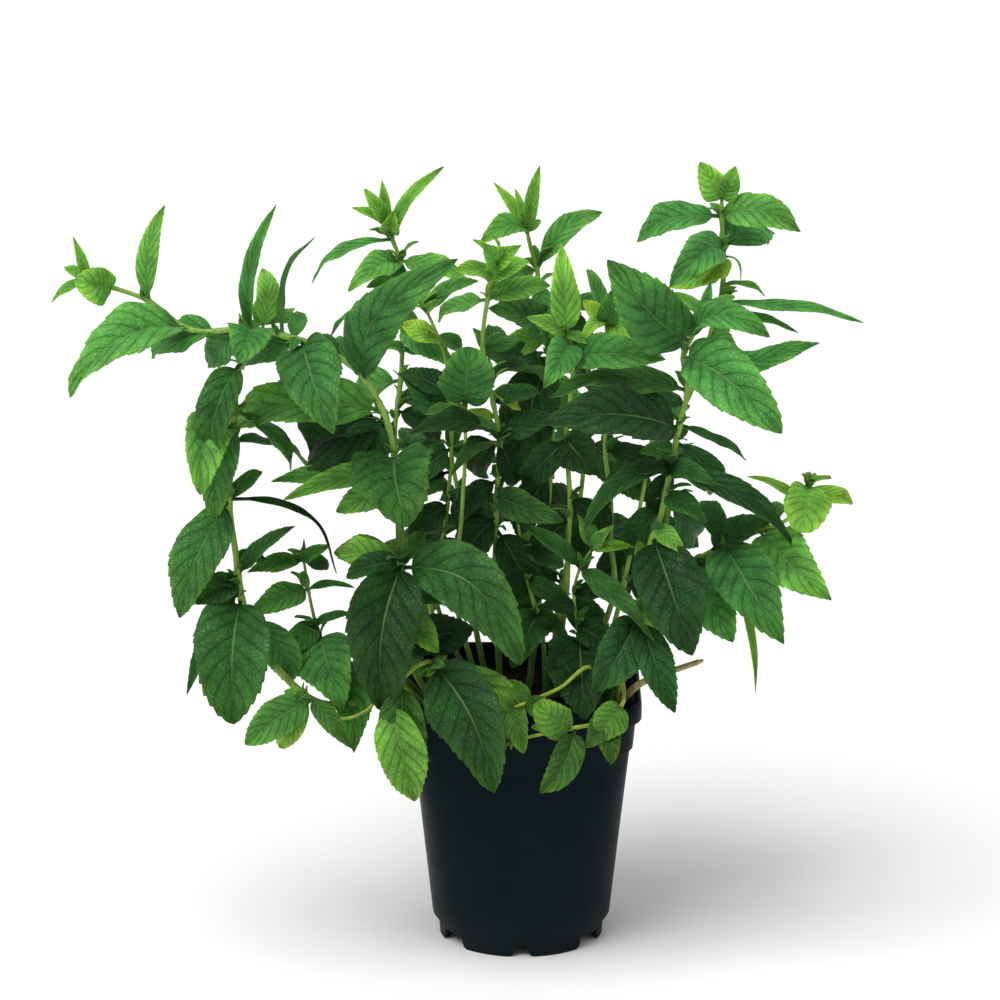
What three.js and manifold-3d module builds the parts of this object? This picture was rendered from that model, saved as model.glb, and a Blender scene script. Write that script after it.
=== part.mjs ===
// A mint plant in a square-topped nursery pot, in millimetres, +Z up.
// The pot holds soil, and each leafy stem stands in a plain hole in the soil. A stem and its
// leaves are one body. The origin is on the ground, under the middle of the whole plant.

import * as THREE from 'three';
import Module from 'manifold-3d';
import { mergeVertices } from 'three/addons/utils/BufferGeometryUtils.js';

// Driving dimensions

const POT_HEIGHT = 136;
const RIM_HALF_WIDTH = 60;
const LIP_HEIGHT = 9.4;
const COLLAR_HALF_WIDTH = 57.2;
const COLLAR_HEIGHT = 15;
const BODY_TOP_HALF_WIDTH = 54.2;
const BODY_FOOT_RADIUS = 45.4;
const BODY_FOOT_HEIGHT = 11.5;
const WALL = 1.7;
const RIM_CORNER = 0.31; // corner radius of the square rim, as a share of its half-width
const RING_RADIUS = 42;
const RING_HEIGHT = 6.6;
const RING_WALL = 2.4;
const FLOOR_UNDERSIDE = 7;
const FLOOR_TOP = 9;
const AROUND = 24; // flat sides round the pot and the soil
const CORNER_CROWDING = 0.45; // how much closer together the sides are at the corners
const DRAIN_HOLES = 4;
const DRAIN_RADIUS = 5;
const DRAIN_CIRCLE = 24;
const NOTCHES = [ // direction from the axis in degrees, width at the top, width at the ground
  [-90, 6.3, 14.4], [90, 6.3, 14.4],
  [-34, 15, 21], [34, 15, 21], [146, 15, 21], [-146, 15, 21],
];
const NOTCH_ROOF = 0.6; // left of the foot ring above a notch

const GAP = 0.35; // between the soil and the pot
const HOLE_GAP = 0.5; // between a stem and its hole in the soil
const SOIL_LEVEL = 121;
const SOIL_LUMP = 1.6; // height of the lumps on top of the soil
const SOIL_RINGS = [45, 28, 12]; // half-widths of the rings that the lumps are made on
const ROOT_DEPTH = 18;

const STEM_STEP = 25; // length of one straight stretch of a stem
const STEM_TIP_SHARE = 0.55; // thickness of a stem's tip, as a share of its foot
const BLADE_THICKNESS = 0.8;
const TEETH_BY_LENGTH = [0, 17, 43]; // a leaf has one tooth a side for each limit it passes
const TOOTH_LEAN = 0.62; // how far along its stretch of the edge a tooth's point lies
const BLADE_ARCH = 0.13; // usual rise of the midrib over its chord, as a share of the leaf's length
const BLADE_CLEARANCE = 0.3; // kept between leaves of different stems
const TOOTH_DEPTH = 0.07; // as a share of the half-width
const FOLD_LEAST = 4; // rise of a leaf's halves from its midrib, in degrees
const FOLD_SPREAD = 16;
const EDGE_WAVE = 0.16; // rise of the edge's waves, as a share of the half-width
const WAVE_TURNS = 9; // radians of wave along an edge
const TURN = 2 * Math.PI;

const PLANT_SHIFT = new THREE.Vector3(31, -5, 0); // from the middle of the pot to the origin's frame
const SEED = 20260;

// The leafy stems. A route starts at the soil and is measured from the middle of the pot.
// A leaf is [place on the route, tip x, tip y, tip z, face, width, arch]. Its place counts the
// route's points from 0, face is how far its upper side is tipped to the front, in degrees,
// and width and arch are shares of its length.

const stems = [
  {
    name: 'stem_left_arch',
    girth: 2.1,
    route: [
      [-40, -6, 121], [-59, -20, 172], [-61, -24, 212], [-62, -26, 246], [-66, -26, 274],
      [-77, -26, 297], [-91, -28, 310], [-108, -30, 318], [-133, -30, 324], [-162, -28, 323],
      [-183, -26, 337], [-201, -26, 344], [-213, -26, 348],
    ],
    leaves: [
      [11, -217, -42, 351, 80, 0.8], [12, -219, -30, 370, 60, 0.25], [12, -225, -20, 353, 60, 0.4],
      [12, -231, -32, 339, 40, 0.25], [10, -175, -20, 384, 70, 0.3],
      [9.1, -222, -48, 297, 45, 0.38, 0.36], [8.5, -186, -8, 305, 60, 0.5],
      [8, -123, -36, 386, 25, 0.24], [7.8, -128, -14, 352, 70, 0.4],
      [7.4, -104, -40, 374, 0, 0.12, 0.08], [8, -116, 0, 328, 60, 0.6],
      [7.2, -108, -14, 329, 60, 0.5], [8, -137, -62, 316, 80, 0.7], [7, -141, -8, 299, 50, 0.36],
      [7, -92, -76, 284, 80, 0.46], [4.3, -151, -8, 270, 50, 0.32, 0.08],
      [3.4, -57, -78, 239, 85, 0.72], [3, -126, -14, 243, 60, 0.2],
      [3.2, -118, -36, 240, 60, 0.26], [3, -92, -34, 232, 70, 0.55], [5, -33, -62, 364, 75, 0.3],
      [5.6, -95, -6, 313, 55, 0.4], [4, -109, 4, 253, 60, 0.76],
    ],
  },
  {
    name: 'stem_upper_left',
    girth: 1.9,
    route: [
      [-28, 14, 121], [-58, 14, 172], [-60, 18, 200], [-63, 22, 233], [-64, 26, 258],
      [-61, 30, 283], [-60, 34, 308], [-61, 38, 328], [-61, 40, 342], [-65, 42, 353],
      [-68, 42, 361],
    ],
    leaves: [
      [9, -109, 62, 328, 35, 0.15, 0.2], [9, -40, 30, 393, 50, 0.15], [10, -85, 40, 370, 50, 0.3],
      [10, -78, 36, 380, 60, 0.4], [10, -70, 44, 383, 40, 0.3], [9.5, -64, 30, 370, 80, 0.6],
      [8, -85, 10, 337, 50, 0.4, 0.14], [8, -27, 20, 338, 45, 0.34, 0.1],
      [7.4, -66, 28, 350, 60, 0.35], [7.2, -77, 20, 334, 60, 0.4],
      [6.2, -99, 56, 303, 20, 0.25, 0.26], [6, -37, 0, 298, 60, 0.38],
      [5.6, -70, 20, 303, 60, 0.45], [5.6, -49, 42, 295, 60, 0.45], [5, -87, 62, 258, 50, 0.5],
      [4.6, -53, 50, 268, 70, 0.5],
    ],
  },
  {
    name: 'stem_mid_left',
    girth: 1.5,
    route: [
      [-22, 8, 121], [-43, 6, 174], [-38, 4, 217], [-35, 2, 259], [-37, 0, 296], [-42, -2, 314],
      [-47, -2, 326],
    ],
    leaves: [
      [5, -29, 6, 304, 60, 0.5], [6, -50, 6, 330, 60, 0.5], [6, -40, -12, 334, 60, 0.4],
      [3.1, -60, 10, 293, 40, 0.5], [3.4, -55, 24, 270, 40, 0.36], [2.3, -19, 16, 201, 60, 0.6],
      [2.2, -57, 0, 210, 60, 0.6], [2.9, -15, 18, 238, 60, 0.6], [2.9, -54, 14, 236, 60, 0.56],
    ],
  },
  {
    name: 'stem_round_leaf',
    girth: 1.6,
    route: [
      [-18, -12, 121], [-33, -16, 181], [-30, -22, 224], [-28, -26, 261], [-28, -28, 285],
    ],
    leaves: [
      [4, -26, -36, 316, 85, 0.92], [3.6, -12, -34, 275, 50, 0.4], [3.8, -49, -16, 278, 50, 0.3],
      [3.8, -41, -10, 277, 50, 0.4],
    ],
  },
  {
    name: 'stem_centre_left',
    girth: 2,
    route: [
      [-10, -10, 121], [-13, -14, 180], [-13, -16, 212], [-12, -18, 244], [-11, -20, 265],
      [-15, -20, 288], [-19, -22, 306], [-19, -22, 322], [-17, -24, 337], [-15, -24, 348],
      [-12, -24, 356],
    ],
    leaves: [
      [8, -43, -8, 323, 40, 0.36], [8, 14, -20, 344, 50, 0.42], [9, -32, -38, 356, 50, 0.5],
      [9, 3, -30, 358, 55, 0.5], [10, -24, -20, 367, 40, 0.25], [10, -2, -42, 368, 70, 0.5],
      [10, -18, -44, 369, 75, 0.6], [6.3, -5, 10, 311, 60, 0.5], [5.4, 13, 14, 288, 12, 0.3],
      [4.8, 9, -16, 289, 50, 0.5], [4, -54, -62, 281, 65, 0.42], [4, 20, -12, 276, 50, 0.4],
      [3.8, -33, -72, 271, 45, 0.34], [2.7, 18, -52, 233, 75, 0.42],
    ],
  },
  {
    name: 'stem_centre_back',
    girth: 2,
    route: [
      [4, 22, 121], [9, 34, 166], [12, 40, 196], [15, 46, 232], [16, 50, 268], [13, 52, 304],
      [9, 54, 324], [8, 54, 335], [5, 55, 345], [3, 55, 354],
    ],
    leaves: [
      [9, -21, 40, 352, 45, 0.5, 0.32], [9, 10, 62, 359, 50, 0.5], [9, -14, 62, 379, 50, 0.2],
      [9, 9, 50, 389, 60, 0.22], [9, -3, 57, 376, 60, 0.26], [7, 41, 72, 363, 50, 0.27],
      [7, -12, 60, 323, 50, 0.42], [5, -14, 30, 321, 60, 0.56], [5.3, 51, 62, 317, 40, 0.3],
      [4.4, -20, 40, 296, 55, 0.4],
    ],
  },
  {
    name: 'stem_centre_front',
    girth: 2,
    route: [
      [14, -14, 121], [22, -20, 182], [23, -22, 211], [24, -24, 235], [22, -26, 267],
      [24, -28, 290], [25, -30, 309], [22, -32, 322],
    ],
    leaves: [
      [7, 19, -38, 367, 85, 0.34], [7, 3, -42, 333, 60, 0.38], [7, 34, -40, 319, 60, 0.42],
      [6.6, 11, -62, 303, 80, 0.5], [6, 68, -56, 316, 60, 0.42], [4, 38, -56, 257, 80, 0.7],
      [4, 0, -22, 241, 70, 0.5],
    ],
  },
  {
    name: 'stem_centre_right',
    girth: 1.8,
    route: [
      [26, 6, 121], [46, 6, 174], [45, 8, 205], [45, 8, 226], [42, 8, 252], [43, 10, 278],
      [45, 12, 298], [42, 14, 316],
    ],
    leaves: [
      [7, 28, -4, 309, 40, 0.34, 0.3], [7, 61, -2, 313, 60, 0.55], [7, 31, 22, 327, 60, 0.5],
      [7, 33, 42, 340, 30, 0.22], [7, 45, -6, 337, 70, 0.4],
    ],
  },
  {
    name: 'stem_right_tall',
    girth: 2.1,
    route: [
      [40, 4, 121], [58, 2, 169], [67, 6, 196], [73, 8, 216], [76, 8, 242], [79, 8, 268],
      [86, 8, 286], [92, 8, 304], [97, 8, 322], [100, 8, 337], [100, 8, 355], [99, 8, 372],
      [99, 8, 381],
    ],
    leaves: [
      [12, 88, -2, 401, 80, 0.62], [12, 105, -2, 399, 80, 0.6], [11, 56, 16, 360, 45, 0.4, 0.28],
      [11, 137, -4, 369, 55, 0.46, 0.24], [10, 74, -22, 345, 70, 0.46, 0.2],
      [10, 124, 42, 361, 60, 0.7], [4.4, 59, 2, 253, 60, 0.5], [4.2, 99, 24, 226, 50, 0.5],
      [3.4, 92, 26, 200, 60, 0.52], [3.3, 51, 14, 195, 50, 0.5], [9.8, 89, -12, 343, 80, 0.6],
      [9.8, 109, 0, 342, 12, 0.1, 0.4], [9, 122, 12, 332, 20, 0.26],
      [8.4, 169, -12, 326, 30, 0.13, 0.08], [8, 138, 2, 316, 30, 0.14, 0.08],
      [7.5, 109, -12, 301, 75, 0.5], [6.6, 145, -30, 318, 50, 0.24, 0.03],
    ],
  },
  {
    name: 'stem_right_front',
    girth: 2.2,
    route: [
      [42, -34, 121], [53, -44, 158], [58, -48, 181], [60, -46, 195], [63, -44, 216],
      [69, -42, 234], [73, -40, 255], [77, -38, 275], [81, -36, 294], [79, -34, 311],
      [83, -34, 321], [89, -34, 333],
    ],
    leaves: [
      [9.8, 43, -64, 365, 70, 0.42], [10, 119, -52, 327, 50, 0.42, 0.28],
      [11, 92, -36, 349, 80, 0.34], [11, 72, -30, 342, 60, 0.38], [11, 104, -32, 341, 60, 0.4],
      [9, 124, -82, 286, 70, 0.46], [8, 15, -46, 298, 40, 0.3], [7, 12, -76, 291, 60, 0.5],
      [7.1, 114, -22, 257, 40, 0.15, 0.06], [6.7, 104, -30, 241, 60, 0.32],
      [6, 93, -66, 256, 60, 0.36], [6, 136, -56, 222, 50, 0.22], [6, 30, -56, 230, 50, 0.3, 0.3],
      [6, 39, -30, 248, 30, 0.28], [6, 58, -60, 260, 60, 0.36], [5.4, 90, -56, 234, 60, 0.5],
      [4.3, 83, -78, 172, 80, 0.55], [2.1, 35, -70, 149, 85, 0.55], [2.1, 75, -74, 141, 80, 0.4],
      [2.05, 74, -66, 184, 60, 0.45],
    ],
  },
  {
    name: 'stem_right_low',
    girth: 1.8,
    route: [
      [46, -10, 121], [62, -14, 164], [71, -20, 182], [84, -24, 202], [101, -28, 213],
      [118, -30, 221], [132, -30, 227], [137, -32, 236], [141, -34, 245],
    ],
    leaves: [
      [8, 137, -58, 230, 85, 0.86], [7, 112, -34, 251, 40, 0.2], [7.7, 166, -24, 234, 60, 0.34],
      [8, 142, -28, 251, 60, 0.5], [5, 151, -64, 197, 70, 0.44], [5, 132, -4, 228, 40, 0.36],
      [4, 127, -76, 179, 75, 0.48], [3, 104, -56, 172, 70, 0.6], [4, 118, -30, 135, 60, 0.12],
      [4, 90, 0, 229, 50, 0.4],
    ],
  },
  {
    name: 'stem_left_low',
    girth: 1.9,
    route: [
      [-46, -18, 121], [-61, -26, 143], [-80, -36, 134], [-102, -40, 135], [-120, -38, 150],
      [-130, -36, 166], [-139, -34, 185], [-142, -32, 209], [-145, -30, 237], [-143, -28, 267],
      [-141, -26, 290], [-139, -26, 305],
    ],
    leaves: [
      [8, -170, -54, 184, 60, 0.42], [8, -88, -24, 203, 20, 0.08, 0.2],
      [8, -129, -16, 249, 50, 0.35], [6.1, -142, -74, 136, 85, 0.6],
      [6.3, -167, -50, 142, 50, 0.16], [6.4, -156, -44, 201, 60, 0.4],
      [6.6, -113, -26, 223, 40, 0.26], [11, -155, -56, 257, 45, 0.42, 0.2],
      [9.2, -155, -74, 255, 75, 0.66], [9, -97, 14, 253, 30, 0.16, 0.03],
      [9.6, -113, -2, 245, 40, 0.2],
    ],
  },
  {
    name: 'stem_left_small',
    girth: 1.4,
    route: [
      [-46, 0, 121], [-60, -2, 145], [-81, -8, 145], [-96, -12, 151], [-103, -14, 167],
      [-107, -14, 186], [-109, -14, 201],
    ],
    leaves: [
      [5, -84, -16, 188, 40, 0.22], [6, -97, -22, 211, 60, 0.45], [6, -137, -22, 198, 50, 0.34],
      [6, -109, -12, 212, 40, 0.2], [4, -85, -22, 176, 40, 0.3], [5, -134, -34, 181, 60, 0.44],
      [3.9, -122, -34, 157, 60, 0.5], [3.7, -90, -56, 134, 80, 0.68],
    ],
  },
  {
    name: 'stem_left_trailing',
    girth: 1.4,
    route: [
      [-42, -32, 121], [-62, -46, 147], [-77, -60, 137], [-91, -66, 135], [-104, -66, 145],
    ],
    leaves: [
      [4, -136, -82, 127, 60, 0.5], [4, -83, -86, 126, 70, 0.46], [4, -121, -62, 117, 70, 0.42],
    ],
  },
  {
    name: 'stem_middle_small',
    girth: 1.4,
    route: [
      [22, -12, 121], [29, -20, 153], [28, -24, 170], [26, -26, 187], [29, -28, 201],
      [35, -30, 212],
    ],
    leaves: [
      [5, 55, -44, 217, 60, 0.38], [5, 30, -20, 231, 60, 0.42], [5, 44, -40, 226, 60, 0.4],
      [4, 64, -72, 182, 60, 0.4], [4, -2, -32, 226, 50, 0.35], [1.4, 31, -66, 136, 80, 0.72],
    ],
  },
  {
    name: 'stem_thin_centre',
    girth: 1.4,
    route: [
      [12, 0, 121], [11, -8, 158], [8, -12, 172], [3, -16, 191], [0, -18, 208], [-2, -18, 223],
    ],
    leaves: [
      [2, -4, -46, 157, 70, 0.55], [2, 22, -30, 168, 70, 0.55], [3, 26, -20, 181, 60, 0.45],
      [4, 22, -10, 197, 60, 0.4], [2.4, -11, -2, 182, 60, 0.5],
    ],
  },
  {
    name: 'stem_front_left',
    girth: 2,
    route: [
      [-40, -26, 121], [-56, -36, 156], [-56, -46, 185], [-59, -52, 211],
    ],
    leaves: [
      [3, -69, -80, 144, 85, 0.54], [2.9, -2, -84, 170, 70, 0.44, 0.3],
      [3, -87, -54, 205, 50, 0.5], [3, -48, -40, 224, 60, 0.5], [1.8, -42, -66, 170, 70, 0.5],
    ],
  },
  {
    name: 'stem_front_drape',
    girth: 1.8,
    route: [
      [-30, -38, 121], [-42, -54, 157], [-50, -63, 162], [-59, -70, 156], [-65, -71, 146],
    ],
    leaves: [
      [1.2, -14, -86, 103, 85, 0.52], [4, -53, -76, 94, 85, 0.46],
    ],
  },
  {
    name: 'stem_front_centre',
    girth: 1.5,
    route: [
      [32, -40, 121], [34, -50, 156], [19, -60, 149], [4, -66, 144], [-5, -68, 141],
    ],
    leaves: [
      [4, 1, -78, 121, 75, 0.4], [4, -22, -74, 152, 60, 0.45], [3, -7, -60, 153, 60, 0.5],
    ],
  },
  {
    name: 'stem_front_runner',
    girth: 1.5,
    route: [
      [46, -36, 121], [49, -50, 150], [50, -64, 143], [42, -69, 135], [26, -72, 132],
      [11, -72, 129], [-2, -72, 126],
    ],
    leaves: [
      [3, 32, -84, 126, 75, 0.52], [3, 44, -84, 117, 80, 0.5], [4, 9, -86, 103, 85, 0.5],
      [4.3, 5, -80, 135, 60, 0.5],
    ],
  },
  {
    name: 'stem_old_stub',
    girth: 1.5,
    route: [
      [46, -24, 121], [56, -42, 143], [70, -48, 152], [90, -50, 160],
    ],
    leaves: [
    ],
  },
  {
    name: 'stem_back_left',
    girth: 1.8,
    route: [
      [-40, 30, 121], [-47, 42, 164], [-50, 54, 192], [-56, 64, 216], [-60, 70, 236],
    ],
    leaves: [
      [4, -50, 100, 239, 20, 0.5], [4, -73, 78, 239, 10, 0.4], [3, -35, 50, 222, 40, 0.5],
      [3, -71, 100, 213, 10, 0.5], [2, -36, 34, 192, 40, 0.5], [2, -71, 84, 173, 20, 0.5],
      [1, -51, 84, 140, 20, 0.5],
    ],
  },
  {
    name: 'stem_back_mid_left',
    girth: 1.9,
    route: [
      [-18, 38, 121], [-26, 50, 161], [-30, 64, 200], [-36, 76, 234], [-34, 82, 260],
    ],
    leaves: [
      [4, -38, 108, 268, 10, 0.5], [4, -15, 72, 271, 30, 0.45], [3, -62, 96, 231, 40, 0.46],
      [3, -11, 68, 230, 50, 0.5], [2.3, -5, 50, 204, 60, 0.5], [2, -50, 84, 186, 60, 0.5],
      [1.4, -11, 84, 157, 50, 0.5], [1, 4, 60, 142, 70, 0.5],
    ],
  },
  {
    name: 'stem_back_mid',
    girth: 1.9,
    route: [
      [16, 38, 121], [20, 52, 161], [29, 68, 199], [34, 82, 238], [36, 88, 262],
    ],
    leaves: [
      [4, 18, 104, 279, 20, 0.46], [4, 57, 84, 274, 30, 0.46], [3.4, 5, 70, 264, 50, 0.5],
      [3.4, 62, 108, 244, 30, 0.46], [3, 14, 108, 212, 40, 0.5], [2, 2, 46, 223, 60, 0.5],
      [2, 60, 92, 171, 40, 0.5], [1.2, -8, 74, 173, 50, 0.5], [1, 47, 60, 141, 70, 0.5],
    ],
  },
  {
    name: 'stem_back_right',
    girth: 1.8,
    route: [
      [40, 32, 121], [51, 44, 163], [59, 58, 197], [65, 70, 225], [68, 76, 245],
    ],
    leaves: [
      [4, 47, 88, 257, 30, 0.46], [4, 88, 92, 255, 30, 0.46], [3, 43, 60, 236, 40, 0.44],
      [3, 95, 98, 222, 30, 0.48], [2, 93, 66, 186, 50, 0.5], [2, 45, 88, 155, 40, 0.5],
      [1.2, 88, 66, 146, 50, 0.5],
    ],
  },
];

// Helpers

const wasm = await Module();
wasm.setup();

const degrees = THREE.MathUtils.degToRad;

function seededDraws(seed) {
  let state = seed >>> 0;
  return () => {
    state = (state + 0x6d2b79f5) >>> 0;
    let t = state;
    t = Math.imul(t ^ (t >>> 15), t | 1);
    t ^= t + Math.imul(t ^ (t >>> 7), t | 61);
    return ((t ^ (t >>> 14)) >>> 0) / 4294967296;
  };
}

function solidFrom(positions, triangles) {
  const whole = triangles.filter(([a, b, c]) => a !== b && b !== c && c !== a);
  return new wasm.Manifold(new wasm.Mesh({
    numProp: 3,
    vertProperties: new Float32Array(positions),
    triVerts: new Uint32Array(whole.flat()),
  }));
}

function solid(geometry) {
  geometry.deleteAttribute('normal');
  geometry.deleteAttribute('uv');
  const merged = mergeVertices(geometry, 1e-3);
  const index = merged.index.array;
  const triangles = [];
  for (let i = 0; i < index.length; i += 3) triangles.push([index[i], index[i + 1], index[i + 2]]);
  return solidFrom(merged.attributes.position.array, triangles);
}

function meshFrom(body, name, material) {
  const { vertProperties, triVerts } = body.getMesh();
  const geometry = new THREE.BufferGeometry();
  geometry.setAttribute('position', new THREE.BufferAttribute(new Float32Array(vertProperties), 3));
  geometry.setIndex(new THREE.BufferAttribute(new Uint32Array(triVerts), 1));
  geometry.computeVertexNormals();
  const mesh = new THREE.Mesh(geometry, material);
  mesh.name = name;
  return mesh;
}

// Pot and soil

const lipFoot = POT_HEIGHT - LIP_HEIGHT;
const collarFoot = lipFoot - COLLAR_HEIGHT;
const collarFootHalfWidth = COLLAR_HALF_WIDTH - 1.5;
const bodyTop = collarFoot - 2;

// Distance from the axis to a square with rounded corners, over its half-width.
function squareness(angle, corner) {
  const quarter = TURN / 4;
  const fold = Math.abs(((angle + quarter / 2) % quarter + quarter) % quarter - quarter / 2);
  const flat = 1 - corner;
  if (Math.tan(fold) <= flat) return 1 / Math.cos(fold);
  const reach = flat * (Math.cos(fold) + Math.sin(fold));
  return reach + Math.sqrt(corner ** 2 - (flat * (Math.cos(fold) - Math.sin(fold))) ** 2);
}

// A closed profile of [half-width, height] points, turned round and squared towards the rim.
// A twisted wall panel is split along one diagonal, so every profile runs up, and walls that
// lie beside each other are split alike.
function squaredTurning(profile, lump) {
  const points = profile.map(([halfWidth, height]) => new THREE.Vector2(halfWidth, height));
  const geometry = new THREE.LatheGeometry(points, AROUND);
  geometry.rotateX(Math.PI / 2);
  const place = geometry.attributes.position;
  for (let i = 0; i < place.count; i++) {
    const [x, y, z] = [place.getX(i), place.getY(i), place.getZ(i)];
    const rise = THREE.MathUtils.clamp((z - BODY_FOOT_HEIGHT) / (collarFoot - BODY_FOOT_HEIGHT), 0, 1);
    const even = Math.atan2(y, x);
    const angle = even + CORNER_CROWDING * Math.sin(4 * even) / 4;
    const reach = Math.hypot(x, y) * squareness(angle, THREE.MathUtils.lerp(1, RIM_CORNER, rise));
    const [px, py] = [reach * Math.cos(angle), reach * Math.sin(angle)];
    place.setXYZ(i, px, py, z + (lump ? lump(px, py, z) : 0));
  }
  return solid(geometry);
}

const potOutside = [
  [0, FLOOR_UNDERSIDE],
  [RING_RADIUS - RING_WALL, FLOOR_UNDERSIDE],
  [RING_RADIUS - RING_WALL, 0],
  [RING_RADIUS - 0.4, 0],
  [RING_RADIUS, RING_HEIGHT],
  [BODY_FOOT_RADIUS, BODY_FOOT_HEIGHT],
  [BODY_TOP_HALF_WIDTH, bodyTop],
  [collarFootHalfWidth, collarFoot],
  [COLLAR_HALF_WIDTH, lipFoot],
  [RIM_HALF_WIDTH, lipFoot + 0.8],
  [RIM_HALF_WIDTH, POT_HEIGHT - 1.6],
  [RIM_HALF_WIDTH - 1, POT_HEIGHT],
  [0, POT_HEIGHT],
];

const potInside = [
  [0, FLOOR_TOP],
  [BODY_FOOT_RADIUS - WALL - 1, FLOOR_TOP],
  [BODY_FOOT_RADIUS - WALL, BODY_FOOT_HEIGHT],
  [BODY_TOP_HALF_WIDTH - WALL, bodyTop],
  [collarFootHalfWidth - WALL, collarFoot],
  [COLLAR_HALF_WIDTH - WALL, lipFoot],
  [RIM_HALF_WIDTH - WALL - 0.6, lipFoot + 2],
  [RIM_HALF_WIDTH - WALL - 0.4, POT_HEIGHT + 1],
  [0, POT_HEIGHT + 1],
];

// A notch in the foot ring, wider at the ground, centred on a direction from the axis.
function notch(direction, topWidth, groundWidth) {
  const outline = new THREE.Shape();
  outline.moveTo(-groundWidth / 2, -1);
  outline.lineTo(groundWidth / 2, -1);
  outline.lineTo(topWidth / 2, RING_HEIGHT - NOTCH_ROOF);
  outline.lineTo(-topWidth / 2, RING_HEIGHT - NOTCH_ROOF);
  const depth = 4 * RING_WALL;
  const geometry = new THREE.ExtrudeGeometry(outline, { depth, bevelEnabled: false });
  geometry.rotateX(Math.PI / 2);
  geometry.translate(0, RING_RADIUS + RING_WALL, 0);
  geometry.rotateZ(degrees(direction - 90));
  return solid(geometry);
}

function makePot() {
  let pot = squaredTurning(potOutside).subtract(squaredTurning(potInside));
  for (const [direction, topWidth, groundWidth] of NOTCHES) {
    pot = pot.subtract(notch(direction, topWidth, groundWidth));
  }
  const depth = 4 * (FLOOR_TOP - FLOOR_UNDERSIDE);
  for (let i = 0; i < DRAIN_HOLES; i++) {
    const hole = new THREE.CylinderGeometry(DRAIN_RADIUS, DRAIN_RADIUS, depth, 6);
    hole.rotateX(Math.PI / 2);
    hole.translate(DRAIN_CIRCLE, 0, FLOOR_UNDERSIDE);
    hole.rotateZ(degrees((i + 0.5) * 360 / DRAIN_HOLES));
    pot = pot.subtract(solid(hole));
  }
  return pot;
}

// Lumps on top of the soil, which fade out towards the pot's wall.
function soilLump(x, y, z) {
  if (z < SOIL_LEVEL - 3) return 0;
  const inside = THREE.MathUtils.clamp((50 - Math.hypot(x, y)) / 8, 0, 1);
  const broad = Math.sin(x * 0.21 + 1) * Math.cos(y * 0.17);
  const fine = 0.5 * Math.sin(x * 0.5 - y * 0.4);
  return inside * SOIL_LUMP * (broad + fine);
}

function makeSoil() {
  const collarSlope = (COLLAR_HALF_WIDTH - collarFootHalfWidth) / COLLAR_HEIGHT;
  const edge = collarFootHalfWidth - WALL - GAP + collarSlope * (SOIL_LEVEL - 1 - collarFoot);
  return squaredTurning([
    [0, FLOOR_TOP + GAP],
    [BODY_FOOT_RADIUS - WALL - 1 - GAP, FLOOR_TOP + GAP],
    [BODY_FOOT_RADIUS - WALL - GAP, BODY_FOOT_HEIGHT],
    [BODY_TOP_HALF_WIDTH - WALL - GAP, bodyTop],
    [collarFootHalfWidth - WALL - GAP, collarFoot],
    [edge, SOIL_LEVEL - 1],
    ...SOIL_RINGS.map((halfWidth) => [halfWidth, SOIL_LEVEL]),
    [0, SOIL_LEVEL],
  ], soilLump);
}

// Stems and leaves

function stemCurve(stem, sink) {
  const points = stem.route.map((p) => new THREE.Vector3(...p));
  points.unshift(new THREE.Vector3(points[0].x, points[0].y, points[0].z - sink));
  return new THREE.CatmullRomCurve3(points, false, 'catmullrom', 0.5);
}

// The points that the straight stretches of a stem run between.
function stemSpine(curve) {
  return curve.getSpacedPoints(Math.ceil(curve.getLength() / STEM_STEP));
}

// A square stem that thins towards its tip.
function stemTube(stem, sink, grow) {
  const curve = stemCurve(stem, sink);
  const half = stem.girth + grow;
  const section = new THREE.Shape([
    new THREE.Vector2(-half, 0), new THREE.Vector2(0, -half),
    new THREE.Vector2(half, 0), new THREE.Vector2(0, half),
  ]);
  const spine = stemSpine(curve);
  const steps = spine.length - 1;
  const tube = new THREE.ExtrudeGeometry(section, { steps, extrudePath: curve, bevelEnabled: false });
  const place = tube.attributes.position;
  const corner = new THREE.Vector3();
  for (let i = 0; i < place.count; i++) {
    corner.fromBufferAttribute(place, i);
    let ring = 0;
    for (let j = 1; j <= steps; j++) {
      if (spine[j].distanceTo(corner) < spine[ring].distanceTo(corner)) ring = j;
    }
    const thin = THREE.MathUtils.lerp(1, STEM_TIP_SHARE, ring / steps);
    corner.sub(spine[ring]).multiplyScalar(grow > 0 ? 1 : thin).add(spine[ring]);
    place.setXYZ(i, corner.x, corner.y, corner.z);
  }
  return solid(tube);
}

// Half-width of a leaf along its length, from 0 at the base to 1 at the tip, at most 1.
function outline(t) {
  return 2.453 * t ** 0.6 * (1 - t) ** 0.7;
}

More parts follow.
